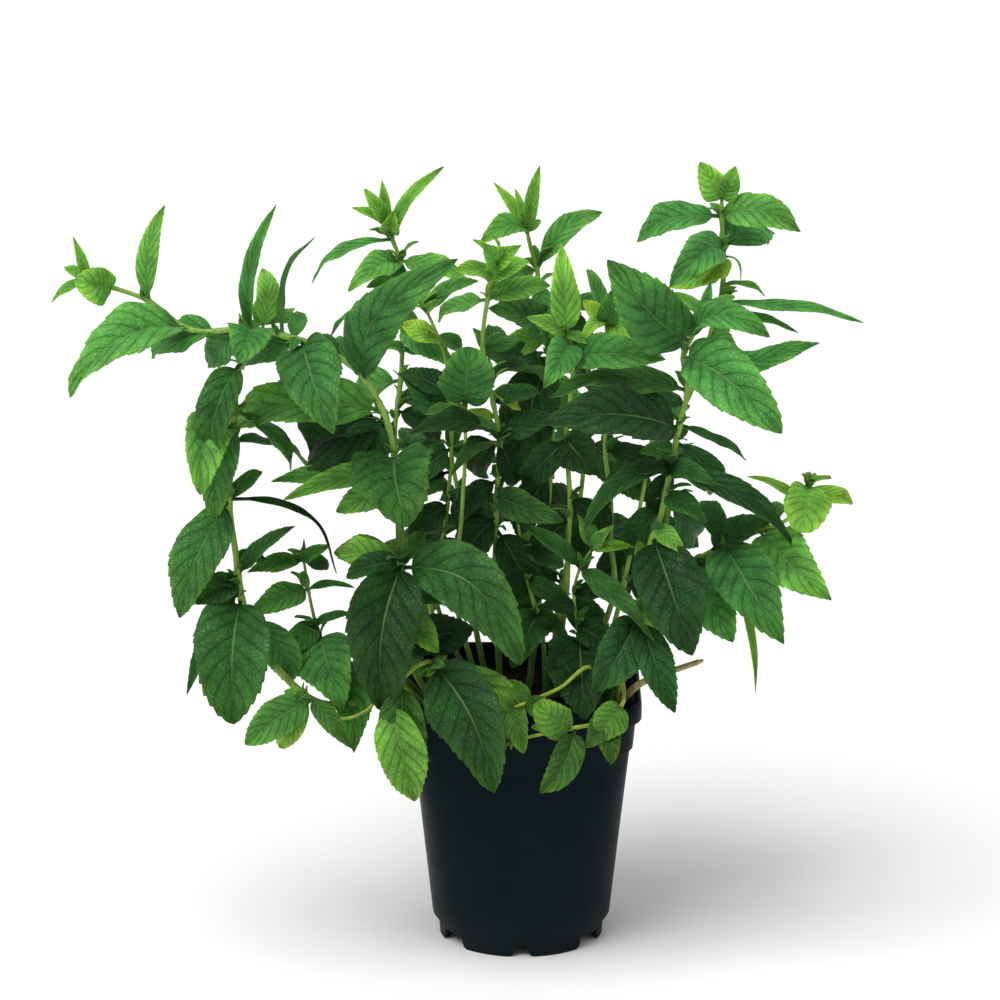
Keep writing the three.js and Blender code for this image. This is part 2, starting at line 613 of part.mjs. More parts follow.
// A toothed blade, arched along its midrib and folded a little along it. Each tooth is a
// triangle between two places of the midrib, alike on both faces.
function blade(leaf, grow) {
  const { base, tip, face, width, arch, fold, wave } = leaf;
  const along = tip.clone().sub(base);
  const length = along.length();
  along.divideScalar(length);
  const facing = new THREE.Vector3(0, -Math.sin(face), Math.cos(face));
  const up = facing.addScaledVector(along, -facing.dot(along)).normalize();
  const across = new THREE.Vector3().crossVectors(up, along);
  const teeth = TEETH_BY_LENGTH.filter((limit) => length > limit).length;
  const halfWidth = width * length / 2;

  const midrib = (t) => base.clone().addScaledVector(along, length * t)
    .addScaledVector(up, arch * length * 4 * t * (1 - t));
  const normal = (t) => {
    const tangent = along.clone().addScaledVector(up, arch * 4 * (1 - 2 * t)).normalize();
    return tangent.cross(across).normalize();
  };
  const edge = (t, side, share) => {
    const reach = halfWidth * outline(t) * share + grow;
    const lift = reach * (Math.sin(fold) + EDGE_WAVE * Math.sin(wave + side + t * WAVE_TURNS));
    return midrib(t).addScaledVector(across, side * reach * Math.cos(fold)).addScaledVector(normal(t), lift);
  };

  const rows = { mid: [], left: [], right: [] };
  const surface = [];
  const add = (point, t) => surface.push({ point, normal: normal(t) }) - 1;
  for (let tooth = 0; tooth <= teeth; tooth++) {
    const t = tooth / teeth;
    const end = tooth === 0 ? -grow : tooth === teeth ? grow : 0;
    rows.mid.push(add(midrib(t).addScaledVector(along, end), t));
    for (const [row, side] of [['left', 1], ['right', -1]]) {
      if (end || tooth % teeth === 0) rows[row].push(rows.mid[tooth]);
      else rows[row].push(add(edge(t, side, 1 - TOOTH_DEPTH), t));
      if (tooth < teeth) {
        const point = (tooth + TOOTH_LEAN) / teeth;
        rows[row].push(add(edge(point, side, 1 + TOOTH_DEPTH), point));
      }
    }
  }

  const top = [];
  for (let tooth = 0; tooth < teeth; tooth++) {
    const [near, far] = rows.mid.slice(tooth, tooth + 2);
    for (const [row, flip] of [['left', false], ['right', true]]) {
      const [a, b, c] = rows[row].slice(2 * tooth, 2 * tooth + 3);
      for (const [p, q, r] of [[near, b, a], [near, far, b], [far, c, b]]) {
        if (p !== q && q !== r && r !== p) top.push(flip ? [p, r, q] : [p, q, r]);
      }
    }
  }
  const count = surface.length;
  const rim = [...rows.right, ...rows.left.slice(1, -1).reverse()];
  const triangles = [...top];
  for (const [a, b, c] of top) triangles.push([a + count, c + count, b + count]);
  rim.forEach((a, i) => {
    const b = rim[(i + 1) % rim.length];
    triangles.push([b, a, a + count], [b, a + count, b + count]);
  });
  const thick = BLADE_THICKNESS / 2 + grow;
  const positions = [];
  for (const side of [1, -1]) {
    for (const { point, normal: n } of surface) {
      positions.push(...point.clone().addScaledVector(n, side * thick).toArray());
    }
  }
  return solidFrom(positions, triangles);
}

// The turns and lifts, in degrees, that bend a leaf clear of what it would cross.
const BENDS = [[0, 0]];
for (const swing of [6, 12, 18, 26, 36]) {
  for (const [turn, lift] of [[1, 0], [-1, 0], [0, 1], [0, -1], [1, 1], [-1, 1], [1, -1], [-1, -1]]) {
    BENDS.push([turn * swing, lift * swing]);
  }
}

function bent(leaf, [turn, lift]) {
  const reach = leaf.tip.clone().sub(leaf.base);
  const level = new THREE.Vector3(-reach.y, reach.x, 0).normalize();
  reach.applyAxisAngle(level, -degrees(lift));
  reach.applyAxisAngle(new THREE.Vector3(0, 0, 1), degrees(turn));
  return { ...leaf, tip: leaf.base.clone().add(reach) };
}

function apart(a, b) {
  for (const axis of [0, 1, 2]) {
    if (a.min[axis] > b.max[axis] || b.min[axis] > a.max[axis]) return true;
  }
  return false;
}

const pot = makePot();
let soil = makeSoil();
const draw = seededDraws(SEED);
const plants = stems.map((stem) => ({
  stem,
  curve: stemCurve(stem, ROOT_DEPTH),
  solids: [stemTube(stem, ROOT_DEPTH, 0)],
}));
for (const { stem } of plants) soil = soil.subtract(stemTube(stem, ROOT_DEPTH + 0.8, HOLE_GAP));

const obstacles = [{ owner: null, body: pot }, { owner: null, body: soil }];
for (const plant of plants) obstacles.push({ owner: plant, body: plant.solids[0] });
for (const obstacle of obstacles) obstacle.box = obstacle.body.boundingBox();

function isClear(body, owner) {
  const box = body.boundingBox();
  return obstacles.every((other) => other.owner === owner || apart(box, other.box)
    || body.intersect(other.body).volume() < 1e-6); // cubic millimetres
}

// The point of a stem's straight stretches that is nearest to a place on its route.
function placeOn({ stem, curve }, place) {
  const spine = stemSpine(curve);
  const aim = curve.getPoint((place + 1) / stem.route.length);
  const nearest = spine.slice(1).map((end, i) => (
    new THREE.Line3(spine[i], end).closestPointToPoint(aim, true, new THREE.Vector3())
  ));
  return nearest.reduce((best, point) => (point.distanceTo(aim) < best.distanceTo(aim) ? point : best));
}

// Adds a leaf in the first of its bends that is clear of every other stem and of the pot.
// A leaf that no bend clears is left out.
function growLeaf(plant, leaf) {
  const clear = BENDS.find((bend) => isClear(blade(bent(leaf, bend), BLADE_CLEARANCE), plant));
  if (!clear) return;
  const body = blade(bent(leaf, clear), 0);
  plant.solids.push(body);
  obstacles.push({ owner: plant, body, box: body.boundingBox() });
}

function leafAt(plant, [place, x, y, z, face, width, arch = BLADE_ARCH]) {
  return {
    base: placeOn(plant, place),
    tip: new THREE.Vector3(x, y, z),
    face: degrees(face),
    width,
    arch,
    fold: degrees(FOLD_LEAST + FOLD_SPREAD * draw()),
    wave: TURN * draw(),
  };
}

for (const plant of plants) {
  for (const row of plant.stem.leaves) growLeaf(plant, leafAt(plant, row));
}

// The whole plant

const materials = {
  pot: new THREE.MeshStandardMaterial({ name: 'pot_plastic', color: 0x10171a, roughness: 0.5 }),
  soil: new THREE.MeshStandardMaterial({ name: 'soil', color: 0x1d1714, roughness: 1 }),
  mint: new THREE.MeshStandardMaterial({ name: 'mint_leaf', color: 0x3d7a2c, roughness: 0.55 }),
};

const pottedMint = new THREE.Group();
pottedMint.position.copy(PLANT_SHIFT);
pottedMint.add(meshFrom(pot, 'pot', materials.pot), meshFrom(soil, 'soil', materials.soil));
for (const plant of plants) {
  pottedMint.add(meshFrom(wasm.Manifold.union(plant.solids), plant.stem.name, materials.mint));
}

export default pottedMint;
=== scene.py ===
"""A mint plant in a square-topped nursery pot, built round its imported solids.

Every leafy stem is one piece: a square stalk, its leaves, and the small leaves at its joints
and tip. The pot and the crust of the soil are pieces of their own.
"""

import math
from contextlib import contextmanager
from typing import NamedTuple

import bmesh
import bpy
import numpy as np
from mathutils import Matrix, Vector, kdtree


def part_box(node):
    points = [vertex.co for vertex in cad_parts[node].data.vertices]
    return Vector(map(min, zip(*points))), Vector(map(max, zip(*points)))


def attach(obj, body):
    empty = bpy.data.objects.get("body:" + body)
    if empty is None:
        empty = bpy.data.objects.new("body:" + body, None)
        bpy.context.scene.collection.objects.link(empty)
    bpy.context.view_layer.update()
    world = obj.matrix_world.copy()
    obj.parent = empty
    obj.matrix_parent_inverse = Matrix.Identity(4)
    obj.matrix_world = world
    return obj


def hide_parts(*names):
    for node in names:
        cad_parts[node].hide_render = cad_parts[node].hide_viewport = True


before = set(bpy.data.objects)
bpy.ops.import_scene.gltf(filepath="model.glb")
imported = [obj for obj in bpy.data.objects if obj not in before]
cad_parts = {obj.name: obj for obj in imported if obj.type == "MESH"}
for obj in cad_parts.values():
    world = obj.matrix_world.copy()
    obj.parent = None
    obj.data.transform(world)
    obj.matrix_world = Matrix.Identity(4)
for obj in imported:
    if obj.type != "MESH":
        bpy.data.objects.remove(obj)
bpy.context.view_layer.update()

bl_info = {
    "name": "Potted Mint Plant",
    "version": (1, 0, 0),
    "blender": (4, 5, 0),
    "location": "View3D > Sidebar > Mint",
    "description": "Builds a mint plant in its nursery pot round the packed solids",
    "category": "Object",
}

MM = 0.001
TURN = 2 * math.pi

# Places and sizes that come from the frame, in metres

POT_LOW, POT_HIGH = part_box("pot")
POT_CENTRE = Vector(((POT_LOW.x + POT_HIGH.x) / 2, (POT_LOW.y + POT_HIGH.y) / 2, 0))
POT_HEIGHT = POT_HIGH.z
RIM_HALF_WIDTH = (POT_HIGH.x - POT_LOW.x) / 2

# How the solids of the stems were grown, so that each fine leaf lies along its own solid.
# Lengths are in millimetres and angles in degrees.

SEED = 20260
ROOT_DEPTH = 18
STEM_STEP = 25
STEM_TIP_SHARE = 0.55
SOLID_BLADE_THICKNESS = 0.8
FOLD_LEAST = 7
FOLD_SPREAD = 24
EDGE_WAVE = 0.20
WAVE_TURNS = 9
BENDS = [(0, 0)] + [
    (turn * swing, lift * swing)
    for swing in (6, 12, 18)
    for turn, lift in ((1, 0), (-1, 0), (0, 1), (0, -1), (1, 1), (-1, 1), (1, -1), (-1, -1))
]


# The plan of the plant


class Leaf(NamedTuple):
    """One leaf of the plan. Width, age, arch and bow are in hundredths."""

    place: float  # where it leaves its stem, counting the route's points from 0
    x: float  # its tip, in millimetres from the middle of the pot
    y: float
    z: float
    face: float  # how far its upper side is tipped to the front, in degrees
    width: float  # of its length
    # A higher age darkens a leaf as painted shade deep in the plant, and a negative one lightens
    # and yellows it as a painted glow of light shining through; the rest is the leaf's own tone.
    age: float = 0  # added to the age that its place on the stem gives it, partly as painted shade and glow
    arch: float = 13  # how high it arches, of its length
    bow: float = 0  # how far it bows to the side, of its length


class Stem(NamedTuple):
    """One stem of the plan, in millimetres from the middle of the pot."""

    name: str
    girth: float  # from its middle to its corners, at its foot, as a square stalk
    # The foot's age is highest on the inner and back stems, partly as painted shade inside the
    # plant.
    tones: tuple  # in hundredths: the age of its top and of its foot, partly painted shade, and how yellow it is
    route: list
    leaves: list = []
    more: list = []  # leaves that have no solid of their own


STEMS = [
    Stem("left_arch", 2.1, (12, 70, 0), route=[
        (-40, -6, 121), (-59, -20, 172), (-61, -24, 212), (-62, -26, 246), (-66, -26, 274),
        (-77, -26, 297), (-91, -28, 310), (-108, -30, 318), (-133, -30, 324), (-162, -28, 323),
        (-183, -26, 337), (-201, -26, 344), (-213, -26, 348),
    ], leaves=[
        (11, -217, -42, 351, 80, 80), (12, -219, -30, 370, 60, 25), (12, -225, -20, 353, 60, 40),
        (12, -231, -32, 339, 40, 25), (10, -175, -20, 384, 70, 22, 0, 13, 9),
        (9.1, -222, -48, 297, 45, 42, -10, 36, 2), (8.5, -186, -8, 305, 45, 42, 12),
        (8, -123, -36, 386, 25, 15, -10, 13, 3), (7.8, -128, -14, 352, 70, 40, -25, 13, -10),
        (7.4, -104, -40, 374, 0, 12, 0, 8, 2), (8, -116, 0, 328, 60, 60),
        (7.2, -108, -14, 329, 60, 50), (8, -137, -62, 316, 80, 70, 10), (7, -141, -8, 299, 50, 36),
        (7, -92, -76, 284, 80, 56, 4), (4.3, -151, -8, 270, 50, 34, -36, 8, -6),
        (3.4, -57, -78, 239, 85, 86, -5), (3, -126, -14, 243, 60, 20, -50),
        (3.2, -118, -36, 240, 60, 22, -46), (3, -92, -34, 232, 70, 45, -42),
        (5, -33, -62, 364, 75, 29, -26, 13, 15), (5.6, -95, -6, 313, 55, 40),
        (4, -109, 4, 253, 60, 76, 25),
    ], more=[
        (8.2, -158, -12, 302, 60, 50, 10, 13, 5), (6, -99, -18, 319, 60, 50, 10),
        (7.1, -113, -44, 316, 60, 45), (4.2, -85, -10, 247, 60, 60, 10),
        (1.8, -94, -20, 208, 60, 50, -40), (1.7, -75, -20, 200, 60, 60, 10),
    ]),
    Stem("upper_left", 1.9, (8, 60, 0), route=[
        (-28, 14, 121), (-58, 14, 172), (-60, 18, 200), (-63, 22, 233), (-64, 26, 258),
        (-61, 30, 283), (-60, 34, 308), (-61, 38, 328), (-61, 40, 342), (-65, 42, 353),
        (-68, 42, 361),
    ], leaves=[
        (9, -109, 62, 328, 35, 15, 20, 14), (9, -40, 30, 393, 50, 15, 14, 13, 5),
        (10, -85, 40, 370, 50, 30), (10, -78, 36, 380, 60, 40, -8), (10, -70, 44, 383, 40, 30, -8),
        (9.5, -64, 30, 370, 80, 60, -8), (8, -85, 10, 337, 50, 40, 0, 14),
        (8, -27, 20, 338, 45, 34, 0, 10), (7.4, -66, 28, 350, 60, 35, 15),
        (7.2, -77, 20, 334, 60, 40), (6.2, -99, 56, 303, 20, 25, 0, 18), (6, -37, 0, 298, 60, 38),
        (5.6, -70, 20, 303, 60, 45), (5.6, -49, 42, 295, 60, 45), (5, -87, 62, 258, 50, 50),
        (4.6, -53, 50, 268, 70, 50),
    ], more=[
        (4.2, -81, 30, 239, 60, 55, 30), (4.4, -41, 36, 250, 50, 50, 35),
        (3.4, -76, 30, 216, 50, 50, 40), (6.5, -51, 30, 301, 50, 50, 20),
    ]),
    Stem("mid_left", 1.5, (35, 100, 12), route=[
        (-22, 8, 121), (-43, 6, 174), (-38, 4, 217), (-35, 2, 259), (-37, 0, 296), (-42, -2, 314),
        (-47, -2, 326),
    ], leaves=[
        (5, -29, 6, 304, 60, 50), (6, -50, 6, 330, 60, 50), (6, -40, -12, 334, 60, 40),
        (3.1, -60, 10, 293, 40, 50), (3.4, -55, 24, 270, 40, 36), (2.3, -19, 16, 201, 60, 60),
        (2.2, -57, 0, 210, 60, 60), (2.9, -15, 18, 238, 60, 60), (2.9, -54, 14, 236, 60, 56),
    ], more=[
        (3.6, -59, 12, 292, 50, 50, 30), (2.6, -62, 10, 226, 50, 50, 35),
        (1.8, -26, 4, 188, 60, 50, 35), (6, -22, 0, 342, 50, 30, 0, 13, 10),
        (4.7, -60, 14, 317, 60, 42, -45),
    ]),
    Stem("round_leaf", 1.6, (50, 64, 10), route=[
        (-18, -12, 121), (-33, -16, 181), (-30, -22, 224), (-28, -26, 261), (-28, -28, 285),
    ], leaves=[
        (4, -26, -36, 316, 85, 92), (3.6, -12, -34, 275, 50, 40), (3.8, -49, -16, 278, 50, 30),
        (3.8, -41, -10, 277, 50, 40),
    ]),
    Stem("centre_left", 2, (14, 100, 5), route=[
        (-10, -10, 121), (-13, -14, 180), (-13, -16, 212), (-12, -18, 244), (-11, -20, 265),
        (-15, -20, 288), (-19, -22, 306), (-19, -22, 322), (-17, -24, 337), (-15, -24, 348),
        (-12, -24, 356),
    ], leaves=[
        (8, -43, -8, 323, 40, 36), (8, 14, -20, 344, 50, 42), (9, -32, -38, 356, 50, 50),
        (9, 3, -30, 358, 55, 50), (10, -24, -20, 367, 40, 25), (10, -2, -42, 368, 70, 50),
        (10, -18, -44, 369, 75, 60), (6.3, -5, 10, 311, 60, 50), (5.4, 13, 14, 288, 12, 30),
        (4.8, 9, -16, 289, 50, 50), (4, -54, -62, 281, 35, 28, 10), (4, 20, -12, 276, 50, 40),
        (3.8, -33, -72, 271, 30, 20, -10), (2.7, 18, -52, 233, 75, 36, -25),
    ], more=[
        (5, -31, -6, 284, 50, 50, 30), (4, -26, -4, 245, 60, 50, 40),
        (2.4, -34, -16, 199, 60, 55, 35), (2.2, 6, -10, 181, 60, 50, 35),
        (3, -33, -12, 222, 50, 50, 35), (4, -3, -12, 239, 60, 50, 30),
        (4.5, -30, -10, 273, 60, 45, -60), (5.1, -1, -4, 279, 60, 60, -60),
    ]),
    Stem("centre_back", 2, (8, 100, 10), route=[
        (4, 22, 121), (9, 34, 166), (12, 40, 196), (15, 46, 232), (16, 50, 268), (13, 52, 304),
        (9, 54, 324), (8, 54, 335), (5, 55, 345), (3, 55, 354),
    ], leaves=[
        (9, -21, 40, 352, 45, 50, 30, 32), (9, 10, 62, 359, 50, 50, 20), (9, -14, 62, 379, 50, 20),
        (9, 9, 50, 389, 60, 22), (9, -3, 57, 376, 60, 26), (7, 41, 72, 363, 50, 27, 0, 13, 7),
        (7, -12, 60, 323, 50, 42), (5, -14, 30, 321, 60, 56), (5.3, 51, 62, 317, 40, 30),
        (4.4, -20, 40, 296, 55, 40),
    ], more=[
        (6, 33, 60, 279, 50, 50, 30), (4.6, -3, 50, 231, 50, 50, 40), (3, -2, 50, 194, 50, 50, 40),
        (2.4, 35, 46, 179, 50, 50, 40), (2, -11, 40, 154, 60, 60, 10),
        (4.4, 29, 50, 255, 60, 50, -40), (6.2, 13, 40, 296, 60, 45, 10, 13, 5),
        (3.4, -1, 46, 252, 50, 50, -35), (4.9, -13, 46, 292, 60, 50, -40),
        (3.9, 2, 58, 263, 60, 60, -60),
    ]),
    Stem("centre_front", 2, (12, 100, 12), route=[
        (14, -14, 121), (22, -20, 182), (23, -22, 211), (24, -24, 235), (22, -26, 267),
        (24, -28, 290), (25, -30, 309), (22, -32, 322),
    ], leaves=[
        (7, 19, -38, 367, 85, 34, -5), (7, 3, -42, 333, 60, 38, 12), (7, 34, -40, 319, 60, 42, 10),
        (6.6, 11, -62, 303, 80, 50, 16), (6, 68, -56, 316, 60, 42, 22),
        (4, 38, -56, 257, 80, 70, 50), (4, 0, -22, 241, 70, 50, 50),
    ], more=[
        (3, 45, -26, 222, 60, 45, 30), (2.6, 3, -16, 202, 60, 50, 35),
    ]),
    Stem("centre_right", 1.8, (30, 100, 12), route=[
        (26, 6, 121), (46, 6, 174), (45, 8, 205), (45, 8, 226), (42, 8, 252), (43, 10, 278),
        (45, 12, 298), (42, 14, 316),
    ], leaves=[
        (7, 28, -4, 309, 40, 34, -30, 30), (7, 61, -2, 313, 60, 55, -30),
        (7, 31, 22, 327, 60, 50, -55), (7, 33, 42, 340, 30, 22), (7, 45, -6, 337, 70, 40),
    ], more=[
        (4, 70, 16, 240, 50, 50, 35), (3, 26, 0, 197, 60, 50, 35), (5, 65, 16, 266, 50, 45, 30),
        (6.6, 59, 2, 316, 60, 50, -35),
    ]),
    Stem("right_tall", 2.1, (10, 72, 0), route=[
        (40, 4, 121), (58, 2, 169), (67, 6, 196), (73, 8, 216), (76, 8, 242), (79, 8, 268),
        (86, 8, 286), (92, 8, 304), (97, 8, 322), (100, 8, 337), (100, 8, 355), (99, 8, 372),
        (99, 8, 381),
    ], leaves=[
        (12, 88, -2, 401, 80, 62), (12, 105, -2, 399, 80, 60, 3),
        (11, 56, 16, 360, 45, 40, 20, 20), (11, 137, -4, 369, 55, 50, 20, 24, 4),
        (10, 74, -22, 345, 70, 50, 20, 20, -10), (10, 124, 42, 361, 60, 70, 20, 13, 10),
        (4.4, 59, 2, 253, 60, 50), (4.2, 99, 24, 226, 50, 50), (3.4, 92, 26, 200, 60, 52),
        (3.3, 51, 14, 195, 50, 50), (9.8, 89, -12, 343, 80, 60, -50),
        (9.8, 109, 0, 342, 12, 10, 0, 40), (9, 122, 12, 332, 20, 26, -10),
        (8.4, 169, -12, 326, 30, 10, -5, 8, -3), (8, 138, 2, 316, 30, 14, -10, 8),
        (7.5, 109, -12, 301, 75, 50, 15), (6.6, 145, -30, 318, 50, 20, -26, 3, -7),
    ], more=[
        (4, 65, 10, 215, 50, 50, 35), (6, 114, 14, 267, 50, 40, 20),
        (5.4, 59, 10, 282, 50, 40, 30), (9.3, 73, 6, 338, 50, 50, -10),
    ]),
    Stem("right_front", 2.2, (26, 80, 0), route=[
        (42, -34, 121), (53, -44, 158), (58, -48, 181), (60, -46, 195), (63, -44, 216),
        (69, -42, 234), (73, -40, 255), (77, -38, 275), (81, -36, 294), (79, -34, 311),
        (83, -34, 321), (89, -34, 333),
    ], leaves=[
        (9.8, 43, -64, 365, 70, 48, 17, 13, 9), (10, 119, -52, 327, 50, 42, 8, 28, 10),
        (11, 92, -36, 349, 80, 34, 10), (11, 72, -30, 342, 60, 38), (11, 104, -32, 341, 60, 40),
        (9, 124, -82, 286, 70, 46, -4, 13, 4), (8, 15, -46, 298, 30, 27, 10, 13, 2),
        (7, 12, -76, 291, 50, 42, 32), (7.1, 114, -22, 257, 40, 15, 0, 6),
        (6.7, 104, -30, 241, 60, 32, 20), (6, 93, -66, 256, 60, 36, 20),
        (6, 136, -56, 222, 50, 19, 15, 13, 5), (6, 30, -56, 230, 50, 22, 15, 30, -8),
        (6, 39, -30, 248, 30, 28, 25), (6, 58, -60, 260, 60, 36, 25), (5.4, 90, -56, 234, 60, 50),
        (4.3, 83, -78, 172, 80, 55, 20), (2.1, 35, -70, 149, 85, 55), (2.1, 75, -74, 141, 80, 40),
        (2.05, 74, -66, 184, 60, 40, -45),
    ], more=[
        (3.4, 83, -44, 189, 60, 50, 30), (3.4, 58, -38, 218, 70, 45, -45),
        (4.6, 80, -58, 217, 70, 45, -50), (2.3, 73, -72, 181, 70, 40, -55),
    ]),
    Stem("right_low", 1.8, (40, 75, 5), route=[
        (46, -10, 121), (62, -14, 164), (71, -20, 182), (84, -24, 202), (101, -28, 213),
        (118, -30, 221), (132, -30, 227), (137, -32, 236), (141, -34, 245),
    ], leaves=[
        (8, 137, -58, 230, 85, 86, -22), (7, 112, -34, 251, 40, 20, -40),
        (7.7, 166, -24, 234, 60, 34, -42), (8, 142, -28, 251, 60, 50, -40),
        (5, 151, -64, 197, 70, 54, -36, 13, -5), (5, 132, -4, 228, 40, 36),
        (4, 127, -76, 179, 75, 54, -20), (3, 104, -56, 172, 75, 60, -28),
        (4, 118, -30, 135, 60, 6, -50, 13, 3), (4, 90, 0, 229, 50, 40),
    ], more=[
        (3.6, 122, -30, 229, 50, 50, 5), (3, 109, -36, 192, 60, 50, 25),
        (2.4, 89, -30, 180, 60, 50, 30),
    ]),
    Stem("left_low", 2.4, (45, 85, 15), route=[
        (-46, -18, 121), (-61, -26, 143), (-80, -36, 134), (-102, -40, 135), (-120, -38, 150),
        (-130, -36, 166), (-139, -34, 185), (-142, -32, 209), (-145, -30, 237), (-143, -28, 267),
        (-141, -26, 290), (-139, -26, 305),
    ], leaves=[
        (8, -170, -54, 184, 60, 40, -6, 13, -2), (8, -88, -24, 203, 20, 8, 20, 20),
        (8, -129, -16, 249, 50, 35), (6.1, -142, -74, 136, 85, 66, 3, 13, -4),
        (6.3, -167, -50, 142, 50, 16), (6.4, -156, -44, 201, 60, 40),
        (6.6, -113, -26, 223, 40, 26), (11, -155, -56, 257, 45, 38, 15, 20, -4),
        (9.2, -155, -74, 255, 75, 50, -20, 13, -18), (9, -97, 14, 253, 30, 20, 0, 3),
        (9.6, -113, -2, 245, 40, 20, -20),
    ], more=[
        (6.4, -161, -48, 189, 60, 62, 10, 13, -5), (5.6, -115, -30, 141, 75, 50, -15, 13, 10),
        (7, -127, -22, 204, 60, 40, 10), (9.4, -152, -40, 229, 60, 40, -10, 13, -5),
    ]),
    Stem("left_small", 1.4, (50, 85, 30), route=[
        (-46, 0, 121), (-60, -2, 145), (-81, -8, 145), (-96, -12, 151), (-103, -14, 167),
        (-107, -14, 186), (-109, -14, 201),
    ], leaves=[
        (5, -84, -16, 188, 40, 22), (6, -97, -22, 211, 60, 45), (6, -137, -22, 198, 50, 34),
        (6, -109, -12, 212, 40, 20), (4, -85, -22, 176, 40, 30), (5, -134, -34, 181, 60, 44),
        (3.9, -122, -34, 157, 60, 50), (3.7, -90, -56, 134, 80, 60, -16),
    ], more=[
        (6, -96, -4, 195, 60, 50, 10), (2.6, -84, -50, 113, 70, 44, -30, 13, 8),
    ]),
    Stem("left_trailing", 1.4, (50, 58, 50), route=[
        (-42, -32, 121), (-62, -46, 147), (-77, -60, 137), (-91, -66, 135), (-104, -66, 145),
    ], leaves=[
        (4, -136, -82, 127, 60, 50), (4, -83, -86, 126, 70, 32, 5),
        (4, -121, -62, 117, 70, 42, -30),
    ]),
    Stem("middle_small", 1.4, (60, 100, 12), route=[
        (22, -12, 121), (29, -20, 153), (28, -24, 170), (26, -26, 187), (29, -28, 201),
        (35, -30, 212),
    ], leaves=[
        (5, 55, -44, 217, 60, 30, -40), (5, 30, -20, 231, 60, 42, -30),
        (5, 44, -40, 226, 60, 40, -25), (4, 64, -72, 182, 40, 22, -10, 13, -4),
        (4, -2, -32, 226, 50, 25, -15), (1.4, 31, -66, 136, 80, 72),
    ], more=[
        (1.5, 31, -64, 137, 80, 66, 20), (1.3, 13, -58, 145, 80, 70, 20),
        (2, 48, -40, 162, 70, 60, 25), (2.6, 9, -34, 183, 60, 50, 25),
        (3, 49, -34, 192, 60, 45, 20), (1.2, 42, -60, 143, 80, 70, 10),
    ]),
    Stem("thin_centre", 1.4, (50, 100, 12), route=[
        (12, 0, 121), (11, -8, 158), (8, -12, 172), (3, -16, 191), (0, -18, 208), (-2, -18, 223),
    ], leaves=[
        (2, -4, -46, 157, 70, 55), (2, 22, -30, 168, 70, 55), (3, 26, -20, 181, 60, 45),
        (4, 22, -10, 197, 60, 40), (2.4, -11, -2, 182, 60, 50),
    ]),
    Stem("front_left", 2, (75, 95, 20), route=[
        (-40, -26, 121), (-56, -36, 156), (-56, -46, 185), (-59, -52, 211),
    ], leaves=[
        (3, -69, -80, 144, 85, 54, 9, 13, -6), (2.9, -2, -84, 170, 70, 44, -24, 14, 20),
        (3, -87, -54, 205, 50, 50), (3, -48, -40, 224, 60, 50, -25),
        (1.8, -42, -66, 170, 70, 62, -50),
    ], more=[
        (2.6, -92, -36, 214, 60, 50, -50, 13, -5), (2.3, -34, -56, 191, 60, 50, -10, 13, 5),
        (2, -77, -44, 169, 50, 60, 10), (1.2, -35, -40, 167, 70, 50, 5),
        (1.3, -23, -30, 171, 70, 60, 10), (1, -46, -50, 152, 80, 50, -45),
    ]),
    Stem("front_drape", 1.8, (62, 70, 38), route=[
        (-30, -38, 121), (-42, -54, 157), (-50, -63, 162), (-59, -70, 156), (-65, -71, 146),
    ], leaves=[
        (1.2, -14, -86, 103, 85, 55, 4, 13, 10), (4, -53, -76, 94, 85, 50, -27),
    ], more=[
        (0.9, 2, -60, 118, 80, 40, -40, 13, 16), (3, -59, -66, 110, 85, 58, -5),
    ]),
    Stem("front_centre", 1.5, (50, 60, 60), route=[
        (32, -40, 121), (34, -50, 156), (19, -60, 149), (4, -66, 144), (-5, -68, 141),
    ], leaves=[
        (4, 1, -78, 121, 75, 50, -10), (4, -22, -74, 152, 60, 45), (3, -7, -60, 153, 60, 50),
    ], more=[
        (3.2, 19, -74, 139, 75, 60),
    ]),
    Stem("front_runner", 1.5, (50, 60, 60), route=[
        (46, -36, 121), (49, -50, 150), (50, -64, 143), (42, -69, 135), (26, -72, 132),
        (11, -72, 129), (-2, -72, 126),
    ], leaves=[
        (3, 32, -84, 126, 75, 66, 12), (3, 44, -84, 117, 80, 60, 12),
        (4, 9, -86, 103, 85, 48, 10, 13, 10), (4.3, 5, -80, 135, 60, 50),
    ], more=[
        (2.2, 35, -80, 127, 75, 72, -10), (4.1, 8, -78, 147, 80, 80, -10, 13, 8),
    ]),
    Stem("old_stub", 2.6, (50, 50, 50), route=[
        (46, -24, 121), (56, -42, 143), (70, -48, 152), (90, -50, 160),
    ]),
    Stem("back_left", 1.8, (62, 100, 8), route=[
        (-40, 30, 121), (-47, 42, 164), (-50, 54, 192), (-56, 64, 216), (-60, 70, 236),
    ], leaves=[
        (4, -50, 100, 239, 20, 50), (4, -73, 78, 239, 10, 40), (3, -35, 50, 222, 40, 50),
        (3, -71, 100, 213, 10, 50), (2, -36, 34, 192, 40, 50), (2, -71, 84, 173, 20, 50),
        (1, -51, 84, 140, 20, 50),
    ]),
    Stem("back_mid_left", 1.9, (62, 100, 8), route=[
        (-18, 38, 121), (-26, 50, 161), (-30, 64, 200), (-36, 76, 234), (-34, 82, 260),
    ], leaves=[
        (4, -38, 108, 268, 10, 50), (4, -15, 72, 271, 30, 45), (3, -62, 96, 231, 40, 46),
        (3, -11, 68, 230, 50, 50), (2.3, -5, 50, 204, 60, 50), (2, -50, 84, 186, 60, 50),
        (1.4, -11, 84, 157, 50, 50), (1, 4, 60, 142, 70, 50),
    ], more=[
        (2.3, -42, 80, 207, 50, 50, 20),
    ]),
    Stem("back_mid", 1.9, (62, 100, 8), route=[
        (16, 38, 121), (20, 52, 161), (29, 68, 199), (34, 82, 238), (36, 88, 262),
    ], leaves=[
